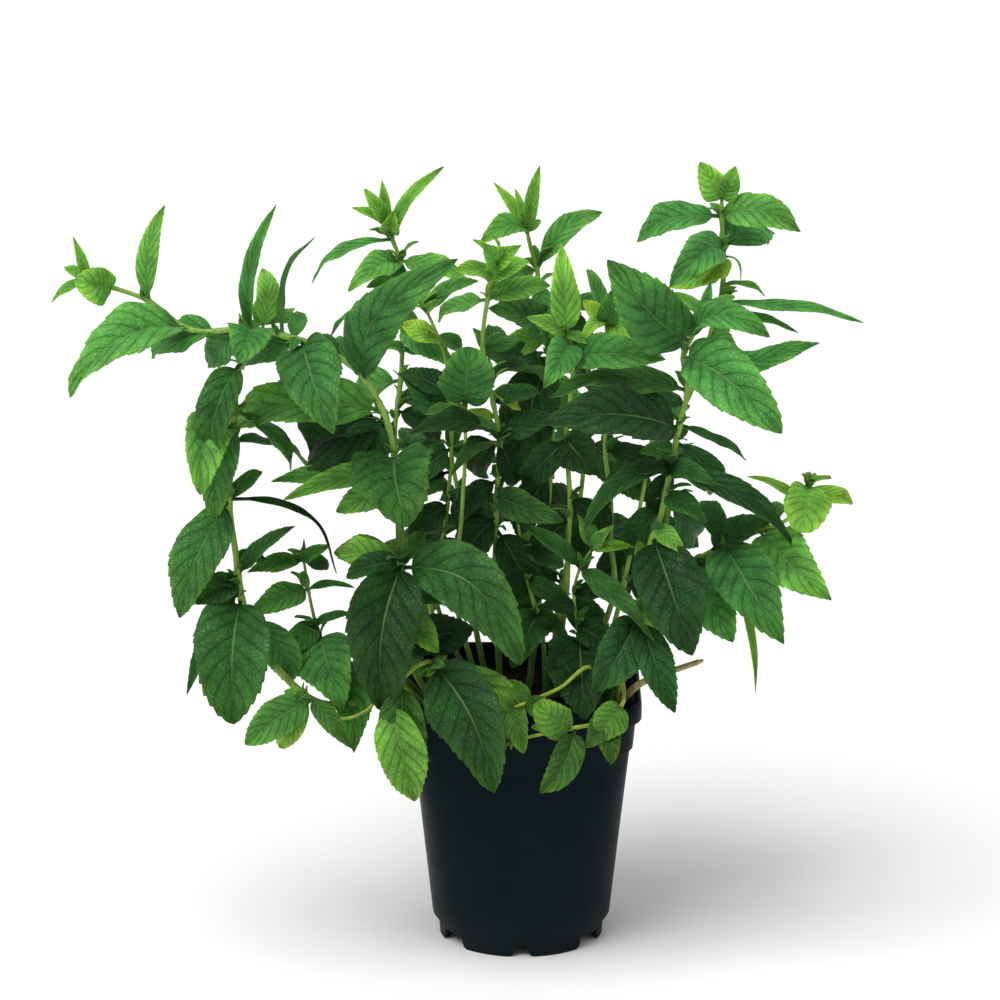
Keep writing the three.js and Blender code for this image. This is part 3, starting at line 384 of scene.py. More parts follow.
        (4, 18, 104, 279, 20, 46), (4, 57, 84, 274, 30, 46), (3.4, 5, 70, 264, 50, 50),
        (3.4, 62, 108, 244, 30, 46), (3, 14, 108, 212, 40, 50), (2, 2, 46, 223, 60, 50),
        (2, 60, 92, 171, 40, 50), (1.2, -8, 74, 173, 50, 50), (1, 47, 60, 141, 70, 50),
    ], more=[
        (2, 47, 80, 196, 50, 50, 20), (3, 67, 70, 209, 60, 50, 10),
    ]),
    Stem("back_right", 1.8, (62, 100, 8), route=[
        (40, 32, 121), (51, 44, 163), (59, 58, 197), (65, 70, 225), (68, 76, 245),
    ], leaves=[
        (4, 47, 88, 257, 30, 46), (4, 88, 92, 255, 30, 46), (3, 43, 60, 236, 40, 44),
        (3, 95, 98, 222, 30, 48), (2, 93, 66, 186, 50, 50), (2, 45, 88, 155, 40, 50),
        (1.2, 88, 66, 146, 50, 50),
    ]),
]


# Settings


class PotSettings(bpy.types.PropertyGroup):
    """Sizes and colours of the nursery pot."""

    wall: bpy.props.FloatProperty(
        name="Wall", description="Thickness of the moulded wall",
        default=1.7 * MM, min=0.8 * MM, unit="LENGTH", subtype="DISTANCE")
    lip_height: bpy.props.FloatProperty(
        name="Lip height", description="Height of the band round the rim",
        default=9.4 * MM, unit="LENGTH", subtype="DISTANCE")
    collar_height: bpy.props.FloatProperty(
        name="Collar height", description="Height of the straight band under the lip",
        default=15 * MM, unit="LENGTH", subtype="DISTANCE")
    collar_inset: bpy.props.FloatProperty(
        name="Collar inset", description="How far the collar lies behind the lip",
        default=2.8 * MM, unit="LENGTH", subtype="DISTANCE")
    body_inset: bpy.props.FloatProperty(
        name="Body inset", description="How far the top of the body lies behind the lip",
        default=5.8 * MM, unit="LENGTH", subtype="DISTANCE")
    foot_radius: bpy.props.FloatProperty(
        name="Foot radius", description="Radius of the body just above the foot ring",
        default=45.4 * MM, unit="LENGTH", subtype="DISTANCE")
    foot_height: bpy.props.FloatProperty(
        name="Foot height", description="Height at which the body starts",
        default=11.5 * MM, unit="LENGTH", subtype="DISTANCE")
    ring_radius: bpy.props.FloatProperty(
        name="Ring radius", description="Outer radius of the foot ring",
        default=42 * MM, unit="LENGTH", subtype="DISTANCE")
    ring_height: bpy.props.FloatProperty(
        name="Ring height", description="Height of the foot ring",
        default=6.6 * MM, unit="LENGTH", subtype="DISTANCE")
    rim_corner: bpy.props.FloatProperty(
        name="Rim corner", description="Corner radius of the rim, as a share of its half-width",
        default=0.31, min=0.05, max=1, subtype="FACTOR")
    sides: bpy.props.IntProperty(
        name="Sides", description="Steps round the pot", default=128, min=32, max=256)
    colour: bpy.props.FloatVectorProperty(
        name="Colour", description="Colour of the moulded plastic",
        default=(0.0022, 0.0078, 0.0108), min=0, max=1, subtype="COLOR")


class SoilSettings(bpy.types.PropertyGroup):
    """Sizes and colours of the soil's crust."""

    level: bpy.props.FloatProperty(
        name="Level", description="Height of the soil above the ground",
        default=121 * MM, unit="LENGTH", subtype="DISTANCE")
    lump: bpy.props.FloatProperty(
        name="Lumps", description="Height of the lumps on the crust",
        default=1.6 * MM, unit="LENGTH", subtype="DISTANCE")
    cells: bpy.props.IntProperty(
        name="Cells", description="Cells along one side of the crust", default=84, min=20, max=200)
    clods: bpy.props.IntProperty(
        name="Clods", description="Number of loose crumbs on the crust",
        default=300, min=0, max=900)
    colour: bpy.props.FloatVectorProperty(
        name="Colour", description="Colour of damp soil",
        default=(0.0050, 0.0038, 0.0030), min=0, max=1, subtype="COLOR")
    bark_colour: bpy.props.FloatVectorProperty(
        name="Bark colour", description="Colour of the bark crumbs in it",
        default=(0.020, 0.013, 0.008), min=0, max=1, subtype="COLOR")


class LeafSettings(bpy.types.PropertyGroup):
    """Sizes and colours of the leaves."""

    thickness: bpy.props.FloatProperty(
        name="Thickness", description="Thickness of a leaf blade",
        default=0.34 * MM, min=0.1 * MM, unit="LENGTH", subtype="DISTANCE")
    tooth: bpy.props.FloatProperty(
        name="Teeth", description="Depth of the teeth, as a share of the half-width",
        default=0.050, min=0, max=0.2, subtype="FACTOR")
    quilting: bpy.props.FloatProperty(
        name="Quilting",
        description="Height of the swelling between side veins, over the half-width",
        default=0.105, min=0, max=0.2, subtype="FACTOR")
    vein_pairs: bpy.props.IntProperty(
        name="Vein pairs", description="Side veins on each half of a leaf",
        default=7, min=3, max=12)
    petiole: bpy.props.FloatProperty(
        name="Petiole", description="Length of the stalk of a large leaf",
        default=3.2 * MM, unit="LENGTH", subtype="DISTANCE")
    young: bpy.props.FloatVectorProperty(
        name="Young leaf", description="Colour of the leaves at the tips of the stems",
        default=(0.235, 0.560, 0.078), min=0, max=1, subtype="COLOR")
    fresh: bpy.props.FloatVectorProperty(
        name="Fresh leaf", description="Colour of a leaf that has just opened out",
        default=(0.078, 0.285, 0.064), min=0, max=1, subtype="COLOR")
    grown: bpy.props.FloatVectorProperty(
        name="Grown leaf", description="Colour of a full-grown leaf",
        default=(0.027, 0.118, 0.027), min=0, max=1, subtype="COLOR")
    old: bpy.props.FloatVectorProperty(
        name="Old leaf", description="Colour of the oldest, darkest leaves",
        default=(0.0085, 0.044, 0.0085), min=0, max=1, subtype="COLOR")
    underside: bpy.props.FloatVectorProperty(
        name="Underside", description="Colour of the pale lower face",
        default=(0.120, 0.270, 0.080), min=0, max=1, subtype="COLOR")


class StalkSettings(bpy.types.PropertyGroup):
    """Sizes and colours of the stalks."""

    step: bpy.props.FloatProperty(
        name="Step", description="Length of one stretch of a stalk",
        default=3.2 * MM, min=1 * MM, unit="LENGTH", subtype="DISTANCE")
    joint_swell: bpy.props.FloatProperty(
        name="Joint swelling", description="How much thicker a stalk is where leaves leave it",
        default=0.30, min=0, max=1, subtype="FACTOR")
    green: bpy.props.FloatVectorProperty(
        name="Green", description="Colour of a stalk near its tip",
        default=(0.235, 0.420, 0.075), min=0, max=1, subtype="COLOR")
    foot: bpy.props.FloatVectorProperty(
        name="Foot", description="Colour of a stalk near the soil",
        default=(0.040, 0.090, 0.020), min=0, max=1, subtype="COLOR")
    woody: bpy.props.FloatVectorProperty(
        name="Woody", description="Colour of an old stalk without leaves",
        default=(0.400, 0.345, 0.150), min=0, max=1, subtype="COLOR")


class StageSettings(bpy.types.PropertyGroup):
    """The floor, the lights and the camera."""

    floor_colour: bpy.props.FloatVectorProperty(
        name="Floor", description="Colour of the plain floor",
        default=(0.93, 0.93, 0.92), min=0, max=1, subtype="COLOR")
    sky: bpy.props.FloatProperty(
        name="Surrounding light", description="Strength of the even light from all round",
        default=0.56, min=0)
    key_strength: bpy.props.FloatProperty(
        name="Key light", description="Strength of the wide soft light from above",
        default=2.4, min=0)
    key_spread: bpy.props.FloatProperty(
        name="Key spread", description="How wide the soft light is",
        default=math.radians(44), unit="ROTATION", subtype="ANGLE")
    distance: bpy.props.FloatProperty(
        name="Distance", description="From the camera to the point that it looks at",
        default=2.4, unit="LENGTH", subtype="DISTANCE")
    elevation: bpy.props.FloatProperty(
        name="Elevation", description="How far the camera looks down",
        default=math.radians(15.427), unit="ROTATION", subtype="ANGLE")
    lens: bpy.props.FloatProperty(
        name="Lens", description="Focal length in millimetres", default=172.1, min=20)
    aim_left: bpy.props.FloatProperty(
        name="Aim left", description="How far left of the pot's axis the camera looks",
        default=10.82 * MM, unit="LENGTH", subtype="DISTANCE")
    aim_height: bpy.props.FloatProperty(
        name="Aim height", description="Height of the point that the camera looks at",
        default=228.64 * MM, unit="LENGTH", subtype="DISTANCE")


# Helpers for modelling


def select_nothing():
    """Leaves edit mode and deselects all, so that a new piece is the only one selected."""
    if bpy.context.object and bpy.context.object.mode != "OBJECT":
        bpy.ops.object.mode_set(mode="OBJECT")
    bpy.ops.object.select_all(action="DESELECT")


def select_only(piece):
    """Makes one piece the selected and active one."""
    select_nothing()
    piece.select_set(True)
    bpy.context.view_layer.objects.active = piece


@contextmanager
def edit_mode(piece):
    """Edit mode on one piece, with its whole mesh selected."""
    select_only(piece)
    bpy.ops.object.mode_set(mode="EDIT")
    bpy.ops.mesh.select_all(action="SELECT")
    yield
    bpy.ops.object.mode_set(mode="OBJECT")


def apply_modifier(piece, kind, **values):
    """Adds one modifier to a piece with the given values and applies it."""
    select_only(piece)
    modifier = piece.modifiers.new(kind.title(), kind)
    for name, value in values.items():
        setattr(modifier, name, value)
    bpy.ops.object.modifier_apply(modifier=modifier.name)


def round_edges(piece, width, segments):
    """Bevels the sharp edges of a piece."""
    apply_modifier(piece, "BEVEL", width=width, segments=segments, limit_method="ANGLE",
                   angle_limit=math.radians(40))


def add_object(name, data):
    """Puts a new object with the given mesh or curve in the scene."""
    made = bpy.data.objects.new(name, data)
    bpy.context.collection.objects.link(made)
    return made


def poly_curve(name, dimensions, count):
    """A new curve in two or three dimensions, and its one line with some number of points."""
    curve = bpy.data.curves.new(name, "CURVE")
    curve.dimensions = dimensions
    line = curve.splines.new("POLY")
    line.points.add(count - 1)
    return curve, line


def join(pieces):
    """Joins pieces into the first of them."""
    select_only(pieces[0])
    for piece in pieces:
        piece.select_set(True)
    if len(pieces) > 1:
        bpy.ops.object.join()
    return pieces[0]


def give_material(piece, material):
    """Makes one material the only one of a piece."""
    piece.data.materials.clear()
    piece.data.materials.append(material)


def place_piece(piece, slot, *replaced):
    """Puts a finished piece under the root body, hides the solids that it stands for and names its
    mesh after it. The slot is not used.
    """
    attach(piece, "root")
    if replaced:
        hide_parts(*replaced)
    piece.data.name = piece.name


def positions(mesh):
    """The places of a mesh's vertices as an array with three columns."""
    flat = np.empty(len(mesh.vertices) * 3)
    mesh.vertices.foreach_get("co", flat)
    return flat.reshape(-1, 3)


def put_positions(mesh, places):
    """Moves a mesh's vertices to the places in an array with three columns."""
    mesh.vertices.foreach_set("co", np.asarray(places, np.float32).ravel())
    mesh.update()


def put_tone(mesh, age, warmth, under):
    """Stores what colours a leaf or stalk: its age, which on a leaf also carries painted shade and
    glow, how yellow it is, and its lower face.
    """
    tone = np.ones((len(mesh.vertices), 4), np.float32)
    for column, value in enumerate((age, warmth, under)):
        tone[:, column] = value
    layer = mesh.attributes.new("tone", "FLOAT_COLOR", "POINT")
    layer.data.foreach_set("color", tone.ravel())


def search_tree(places):
    """A tree that finds which of some places is nearest to a point."""
    tree = kdtree.KDTree(len(places))
    for index, place in enumerate(places):
        tree.insert(place, index)
    tree.balance()
    return tree


def seeded_draws(seed):
    """Yields the same numbers from 0 to 1 that the solids were grown with."""
    word = 2 ** 32
    state = seed
    while True:
        state = (state + 0x6D2B79F5) % word
        mixed = (state ^ (state >> 15)) * (state | 1) % word
        mixed ^= (mixed + (mixed ^ (mixed >> 7)) * (mixed | 61)) % word
        yield (mixed ^ (mixed >> 14)) / word


def unit(vector):
    """A vector of length 1 in the same direction."""
    return vector / np.linalg.norm(vector)


def turned(vector, axis, angle):
    """A vector turned about an axis of length 1 by an angle in radians."""
    return (vector * math.cos(angle) + np.cross(axis, vector) * math.sin(angle)
            + axis * (axis @ vector) * (1 - math.cos(angle)))


def smooth_step(low, high, value):
    """Rises smoothly from 0 at low to 1 at high."""
    share = np.clip((value - low) / (high - low), 0, 1)
    return share * share * (3 - 2 * share)


# Helpers for materials


class Nodes:
    """Adds nodes to a material or a node group, with short calls."""

    def __init__(self, tree):
        self.tree = tree

    def feed(self, socket, value):
        """Sets or links one input."""
        if isinstance(value, bpy.types.NodeSocket):
            self.tree.links.new(value, socket)
        else:
            socket.default_value = value

    def add(self, kind, values=None, **inputs):
        """A node with its settings and inputs. An input is a value or another node's output."""
        node = self.tree.nodes.new("ShaderNode" + kind)
        for name, value in (values or {}).items():
            setattr(node, name, value)
        for name, value in inputs.items():
            self.feed(node.inputs[name.replace("_", " ")], value)
        return node

    def shared(self, group, **inputs):
        """The outputs of a shared group."""
        return self.add("Group", {"node_tree": group}, **inputs).outputs

    def math(self, operation, first, second=0.0, clamp=False):
        """One sum on numbers."""
        node = self.add("Math", {"operation": operation, "use_clamp": clamp})
        self.feed(node.inputs[0], first)
        self.feed(node.inputs[1], second)
        return node.outputs[0]

    def plus(self, first, second):
        """One number added to another."""
        return self.math("ADD", first, second)

    def less(self, first, second):
        """One number with another taken from it."""
        return self.math("SUBTRACT", first, second)

    def times(self, first, second):
        """One number times another."""
        return self.math("MULTIPLY", first, second)

    def most(self, first, second):
        """The larger of two numbers."""
        return self.math("MAXIMUM", first, second)

    def ramp(self, value, low, high, start=0.0, end=1.0):
        """A smooth rise from start to end while a number goes from low to high."""
        return self.add("MapRange", {"interpolation_type": "SMOOTHSTEP"}, Value=value,
                        From_Min=low, From_Max=high, To_Min=start, To_Max=end).outputs[0]

    def spread(self, value, start, end):
        """A smooth rise from start to end while a number goes from 0 to 1."""
        return self.ramp(value, 0.0, 1.0, start, end)

    def mix(self, share, first, second, blend="MIX"):
        """A mix of two colours."""
        node = self.add("Mix", {"data_type": "RGBA", "blend_type": blend}, Factor=share)
        self.feed(node.inputs[6], first)
        self.feed(node.inputs[7], second)
        return node.outputs[2]

    def tint(self, colour, shade):
        """A colour times another."""
        return self.mix(1.0, colour, shade, "MULTIPLY")

    def brighten(self, colour, value):
        """A colour made lighter or darker."""
        return self.add("HueSaturation", Value=value, Color=colour).outputs[0]

    def noise(self, vector, scale, detail, roughness=0.55):
        """A noise value at a scale."""
        return self.add("TexNoise", Vector=vector, Scale=scale, Detail=detail,
                        Roughness=roughness).outputs["Fac"]

    def place(self):
        """Where a point lies on its piece, in metres."""
        return self.add("TexCoord").outputs["Object"]

    def scaled(self, vector, scale):
        """A vector with each of its parts scaled."""
        return self.add("Mapping", Vector=vector, Scale=scale).outputs[0]

    def tones(self):
        """A leaf's or stalk's age, warmth and lower face."""
        tone = self.add("Attribute", {"attribute_name": "tone"}).outputs["Color"]
        return self.add("SeparateColor", Color=tone).outputs[:3]


def opaque(colour):
    """A colour with its alpha."""
    return (*colour, 1.0)


def new_material(name):
    """An empty node material with its Principled shader."""
    material = bpy.data.materials.new(name)
    material.use_nodes = True
    tree = material.node_tree
    return material, Nodes(tree), tree.nodes["Principled BSDF"].inputs


def finish_surface(nodes, shader, colour, roughness, specular, height, strength, depth):
    """Feeds a material's shader with its colour and gloss, and with bumps of some depth."""
    bump = nodes.add("Bump", Height=height, Strength=strength, Distance=depth)
    nodes.feed(shader["Base Color"], colour)
    nodes.feed(shader["Roughness"], roughness)
    nodes.feed(shader["Normal"], bump.outputs[0])
    shader["Specular IOR Level"].default_value = specular


def new_group(name, inputs, outputs):
    """A shader node group with inputs of given kinds and defaults, and number outputs."""
    group = bpy.data.node_groups.new(name, "ShaderNodeTree")
    for socket, kind, default in inputs:
        made = group.interface.new_socket(socket, in_out="INPUT", socket_type="NodeSocket" + kind)
        if default is not None:
            made.default_value = default
    for socket in outputs:
        group.interface.new_socket(socket, in_out="OUTPUT", socket_type="NodeSocketFloat")
    enter = group.nodes.new("NodeGroupInput")
    leave = group.nodes.new("NodeGroupOutput")
    return group, Nodes(group), enter.outputs, leave.inputs


# Materials

VEIN_SWEEP = 0.30
VEIN_STAGGER = 0.045
VEIN_CURVE = 0.9
NET_CELLS = (13.0, 26.0, 1.0)
FRESH_AGE, GROWN_AGE = 0.34, 0.68
WARM_LEAF_TINT = (1.75, 1.05, 0.35, 1.0)
WARM_STALK_TINT = (1.5, 1.0, 0.6, 1.0)
# Painted glow of light through leaf margins and tips, and painted shade in vein grooves
MARGIN_GLOW_TINT = (2.1, 1.6, 1.05, 1.0)
GROOVE_SHADE_TINT = (0.40, 0.55, 0.50, 1.0)
RIB_COLOUR = (0.26, 0.44, 0.13, 1.0)
LOWER_RIB_COLOUR = (0.28, 0.44, 0.18, 1.0)
DUST_COLOUR = (0.16, 0.15, 0.13, 1.0)
WET_SOIL_COLOUR = (0.006, 0.004, 0.003, 1.0)


def blotch_group():
    """Soft blotches in two sizes, which shift the tone of leaves, stalks, soil and plastic."""
    group, nodes, given, wanted = new_group(
        "soft_blotches",
        [("Vector", "Vector", None), ("Scale", "Float", 60.0), ("Contrast", "Float", 0.5)],
        ["Value"])
    broad = nodes.noise(given["Vector"], given["Scale"], 2.0)
    fine = nodes.noise(given["Vector"], nodes.times(given["Scale"], 6.0), 4.0)
    both = nodes.plus(nodes.times(broad, 0.65), nodes.times(fine, 0.35))
    spread = nodes.times(nodes.times(nodes.less(both, 0.5), given["Contrast"]), 4.0)
    nodes.feed(wanted["Value"], nodes.math("ADD", spread, 0.5, clamp=True))
    return group


def vein_group():
    """Midrib, side veins, and the net and swellings between them, on a leaf's own coordinates."""
    group, nodes, given, wanted = new_group(
        "mint_veins",
        [("Coordinates", "Vector", None), ("Pairs", "Float", 7.0), ("Sweep", "Float", VEIN_SWEEP)],
        ["Midrib", "Side Veins", "Net", "Quilt", "Height"])
    own = given["Coordinates"]
    apart = nodes.add("SeparateXYZ", Vector=own).outputs
    across = nodes.times(nodes.less(apart[0], 0.5), 2.0)
    out = nodes.math("ABSOLUTE", across)
    swept = nodes.times(nodes.math("POWER", out, VEIN_CURVE), given["Sweep"])
    stagger = nodes.times(nodes.math("GREATER_THAN", across, 0.0), VEIN_STAGGER)
    phase = nodes.times(nodes.plus(nodes.less(apart[1], swept), stagger), given["Pairs"])
    beat = nodes.math("FRACT", nodes.plus(phase, 0.5))
    nearest = nodes.math("ABSOLUTE", nodes.less(beat, 0.5))
    midrib = nodes.ramp(out, 0.015, 0.045, 1.0, 0.0)
    side = nodes.times(nodes.ramp(nearest, 0.015, 0.11, 1.0, 0.0),
                       nodes.ramp(out, 0.75, 1.0, 1.0, 0.25))
    cells = nodes.add("TexVoronoi", {"feature": "DISTANCE_TO_EDGE"},
                      Vector=nodes.scaled(own, NET_CELLS), Scale=1.0)
    net = nodes.ramp(cells.outputs["Distance"], 0.0, 0.16, 1.0, 0.0)
    # The swellings' mask also paints shade on the upper face of the leaf.
    quilt = nodes.times(nodes.ramp(nearest, 0.02, 0.40), nodes.ramp(out, 0.05, 0.30, 0.25, 1.0))
    sunk = nodes.most(nodes.most(nodes.times(side, 0.8), midrib), nodes.times(net, 0.38))
    height = nodes.plus(nodes.times(quilt, 0.25), nodes.less(1.0, sunk))
    for socket, value in zip(wanted, (midrib, side, net, quilt, height)):
        nodes.feed(socket, value)
    return group


def shared_groups():
    """The two shared node groups, built once."""
    makers = {"soft_blotches": blotch_group, "mint_veins": vein_group}
    return [bpy.data.node_groups.get(name) or make() for name, make in makers.items()]


def upper_colour(nodes, tinted, age, out, along, blotch, vein):
    """A leaf's upper face: paler at its margin and tip as a painted glow of light shining through,
    with painted shade on its quilting and painted shade in its vein grooves.
    """
    # Painted glow: the margin and the tip are mixed towards a paler, yellower tint, as if light
    # shone through them.
    margin_glow = nodes.times(nodes.ramp(out, 0.45, 1.0, 0.0, 0.42),
                         nodes.ramp(along, 0.1, 0.8, 0.5, 1.0))
    tip = nodes.times(nodes.ramp(along, 0.45, 1.0), nodes.ramp(age, 0.2, 0.8, 0.28, 0.52))
    glowing = nodes.mix(nodes.plus(margin_glow, tip), tinted, nodes.tint(tinted, MARGIN_GLOW_TINT))
    # Painted shade: lighter on the swellings between the side veins and darker beside them, on top
    # of the blotches' own random tone.
    upper = nodes.brighten(glowing, nodes.times(nodes.spread(blotch, 0.68, 1.34),
                                              nodes.spread(vein["Quilt"], 0.94, 1.06)))
    # Painted shade in the grooves of the side veins and of the fine net.
    groove_shade = nodes.tint(upper, GROOVE_SHADE_TINT)
    net = nodes.times(vein["Net"], nodes.ramp(age, 0.15, 0.7, 0.12, 0.36))
    side = nodes.times(vein["Side Veins"], nodes.ramp(age, 0.3, 0.8, 0.54, 0.46))
    groove_shaded = nodes.mix(side, nodes.mix(net, upper, groove_shade), groove_shade)
    midrib = nodes.times(vein["Midrib"], nodes.ramp(along, 0.15, 0.85, 0.9, 0.1))
    return upper, nodes.mix(midrib, groove_shaded, nodes.mix(0.34, upper, RIB_COLOUR))


def leaf_material(leaf, blotches, veins):
    """Satin, quilted leaf: light when young, dark when old or in painted shade, pale and matt
    below, with painted glow at its margin and tip and painted shade in its vein grooves and
    quilting.
    """
    material, nodes, shader = new_material("quilted_leaf")
    age, warmth, under = nodes.tones()
    place = nodes.place()
    own = nodes.add("UVMap", {"uv_map": "UVMap"}).outputs[0]
    across, along = nodes.add("SeparateXYZ", Vector=own).outputs[:2]
    out = nodes.math("ABSOLUTE", nodes.times(nodes.less(across, 0.5), 2.0))
    blotch = nodes.shared(blotches, Vector=place, Scale=75.0, Contrast=0.6)["Value"]
    vein = nodes.shared(veins, Coordinates=own, Pairs=float(leaf.vein_pairs), Sweep=VEIN_SWEEP)
    ageing = nodes.add("ValToRGB", Fac=age)
    stops = ageing.color_ramp.elements
    stops[0].color, stops[1].color = opaque(leaf.young), opaque(leaf.old)
    stops.new(FRESH_AGE).color = opaque(leaf.fresh)
    stops.new(GROWN_AGE).color = opaque(leaf.grown)
    cool = ageing.outputs[0]
    tinted = nodes.mix(warmth, cool, nodes.tint(cool, WARM_LEAF_TINT))
    plain, upper = upper_colour(nodes, tinted, age, out, along, blotch, vein)
    below = nodes.mix(0.50, plain, opaque(leaf.underside))
    ribs = nodes.most(vein["Midrib"], nodes.times(vein["Side Veins"], 0.7))
    lower = nodes.mix(ribs, below, nodes.mix(0.45, below, LOWER_RIB_COLOUR))
    roughness = nodes.plus(nodes.spread(blotch, 0.54, 0.40), nodes.times(under, 0.22))
    height = nodes.plus(vein["Height"], nodes.times(nodes.noise(place, 900.0, 2.0), 0.16))
    finish_surface(nodes, shader, nodes.mix(under, upper, lower), roughness, specular=0.19,
                   height=height, strength=1.0, depth=0.8 * MM)
    shader["Subsurface Weight"].default_value = 0.4
    shader["Subsurface Radius"].default_value = (0.7, 1.0, 0.2)
    shader["Subsurface Scale"].default_value = 1.2 * MM
    return material


def stalk_material(stalk, blotches):
    """Square green stalk, browner towards the soil and streaked along its length."""
    material, nodes, shader = new_material("square_stalk")
    age, warmth, woody = nodes.tones()
    lengthwise = nodes.scaled(nodes.place(), (1.0, 1.0, 0.12))
    blotch = nodes.shared(blotches, Vector=lengthwise, Scale=420.0, Contrast=0.6)["Value"]
    fresh = nodes.mix(nodes.ramp(age, 0.45, 1.0), opaque(stalk.green), opaque(stalk.foot))
    tinted = nodes.mix(warmth, fresh, nodes.tint(fresh, WARM_STALK_TINT))
    both = nodes.mix(woody, tinted, opaque(stalk.woody))
    finish_surface(nodes, shader, nodes.brighten(both, nodes.spread(blotch, 0.66, 1.25)),
                   nodes.spread(blotch, 0.60, 0.42), specular=0.15,
                   height=blotch, strength=0.25, depth=0.2 * MM)
    return material


def plastic_material(pot, blotches):
    """Near-black moulded plastic with a fine grain, scuffed and dusty in places."""
    material, nodes, shader = new_material("moulded_plastic")
    place = nodes.place()
    height = nodes.add("SeparateXYZ", Vector=place).outputs[2]
    blotch = nodes.shared(blotches, Vector=place, Scale=18.0, Contrast=0.6)["Value"]
    dust = nodes.times(nodes.times(nodes.ramp(height, 0.0, 0.03, 0.55, 0.12), blotch), 0.10)
    grain = nodes.plus(nodes.times(nodes.noise(place, 2600.0, 2.0), 0.3), nodes.times(blotch, 0.7))
    finish_surface(nodes, shader, nodes.mix(dust, opaque(pot.colour), DUST_COLOUR),
                   nodes.spread(blotch, 0.34, 0.52), specular=0.035,
                   height=grain, strength=0.16, depth=0.25 * MM)
    return material


def soil_material(soil, blotches):
    """Damp dark soil with paler crumbs of bark."""
    material, nodes, shader = new_material("damp_soil")
    place = nodes.place()
    blotch = nodes.shared(blotches, Vector=place, Scale=110.0, Contrast=0.9)["Value"]
    cells = nodes.add("TexVoronoi", Vector=place, Scale=420.0).outputs
    which = nodes.add("SeparateColor", Color=cells["Color"]).outputs[0]
    dark = nodes.mix(blotch, WET_SOIL_COLOUR, opaque(soil.colour))
    colour = nodes.mix(nodes.ramp(which, 0.80, 0.97), dark, opaque(soil.bark_colour))
    grain = nodes.plus(nodes.noise(place, 1400.0, 4.0, 0.7), cells["Distance"])
    finish_surface(nodes, shader, colour, nodes.spread(blotch, 0.80, 0.97),
                   specular=0.15, height=grain, strength=0.7, depth=0.6 * MM)
    return material


# The pot

FLOOR_LOW = 7 * MM
FLOOR_TOP = 9 * MM
BODY_STEPS = 10
DRAIN_HOLES = 4
DRAIN_RADIUS = 5 * MM
DRAIN_REACH = 24 * MM
DRAIN_HEIGHT = 8 * MM
NOTCH_DEPTH = 9 * MM
NOTCH_FOOT_RADIUS = 2.4 * MM
NOTCH_EDGE_RADIUS = 0.9 * MM
POT_EDGE_RADIUS = 0.25 * MM
# The notches of the foot ring: the way each faces in degrees, and its width at its top and at
# the ground in millimetres
NOTCHES = (
    (-90, 5.6, 9.6), (90, 5.6, 9.6), (-34, 14, 17), (34, 14, 17), (146, 14, 17), (-146, 14, 17),
)


def squareness(angle, corner):
    """From the axis to a square with rounded corners in some direction, over its half-width."""
    quarter = math.pi / 2
    fold = abs((angle + quarter / 2) % quarter - quarter / 2)
    flat = 1 - corner
    if math.tan(fold) <= flat:
        return 1 / math.cos(fold)
    reach = flat * (math.cos(fold) + math.sin(fold))
    return reach + math.sqrt(corner ** 2 - (flat * (math.cos(fold) - math.sin(fold))) ** 2)


def squared(places, pot):
    """Round rings of places, squared more and more from the foot up to the collar."""
    made = places.copy()
    collar_foot = POT_HEIGHT - pot.lip_height - pot.collar_height
    for row in made:
        rise = min(max((row[2] - pot.foot_height) / (collar_foot - pot.foot_height), 0), 1)
        corner = 1 + (pot.rim_corner - 1) * rise
        row[:2] *= squareness(math.atan2(row[1], row[0]), corner)
    return made


def pot_section(pot):
    """The pot's section as (half-width, height) points, up the outside and down the inside."""
    lip_foot = POT_HEIGHT - pot.lip_height
    collar_foot = lip_foot - pot.collar_height
    body_top = collar_foot - 2 * MM
    rim = RIM_HALF_WIDTH
    lip_inside = rim - pot.wall - 0.6 * MM
    collar = rim - pot.collar_inset
    body = rim - pot.body_inset
    ring_inside = pot.ring_radius - 2.4 * MM

    def on_body(step, inset=0):
        """A point of the body's wall, or of the wall's inside."""
        share = step / BODY_STEPS
        return (pot.foot_radius + (body - pot.foot_radius) * share - inset,
                pot.foot_height + (body_top - pot.foot_height) * share)

    steps = range(BODY_STEPS + 1)
    return [
        (0, FLOOR_LOW), (ring_inside, FLOOR_LOW), (ring_inside, 0),
        (pot.ring_radius - 0.4 * MM, 0), (pot.ring_radius, pot.ring_height),
        *(on_body(step) for step in steps),
        (collar - 1.5 * MM, collar_foot), (collar, lip_foot),
        (rim - 0.3 * MM, lip_foot + 0.5 * MM), (rim, lip_foot + 1.2 * MM),
        (rim, POT_HEIGHT - 1.6 * MM), (rim - 0.35 * MM, POT_HEIGHT - 0.4 * MM),
        (rim - 1 * MM, POT_HEIGHT), (rim - pot.wall - 0.2 * MM, POT_HEIGHT - 0.1 * MM),
        (lip_inside, POT_HEIGHT - 1 * MM), (lip_inside, lip_foot + 2 * MM),
        (collar - pot.wall, lip_foot), (collar - 1.5 * MM - pot.wall, collar_foot),
        *(on_body(step, pot.wall) for step in reversed(steps)),
        (pot.foot_radius - pot.wall - 1 * MM, FLOOR_TOP), (0, FLOOR_TOP),
    ]


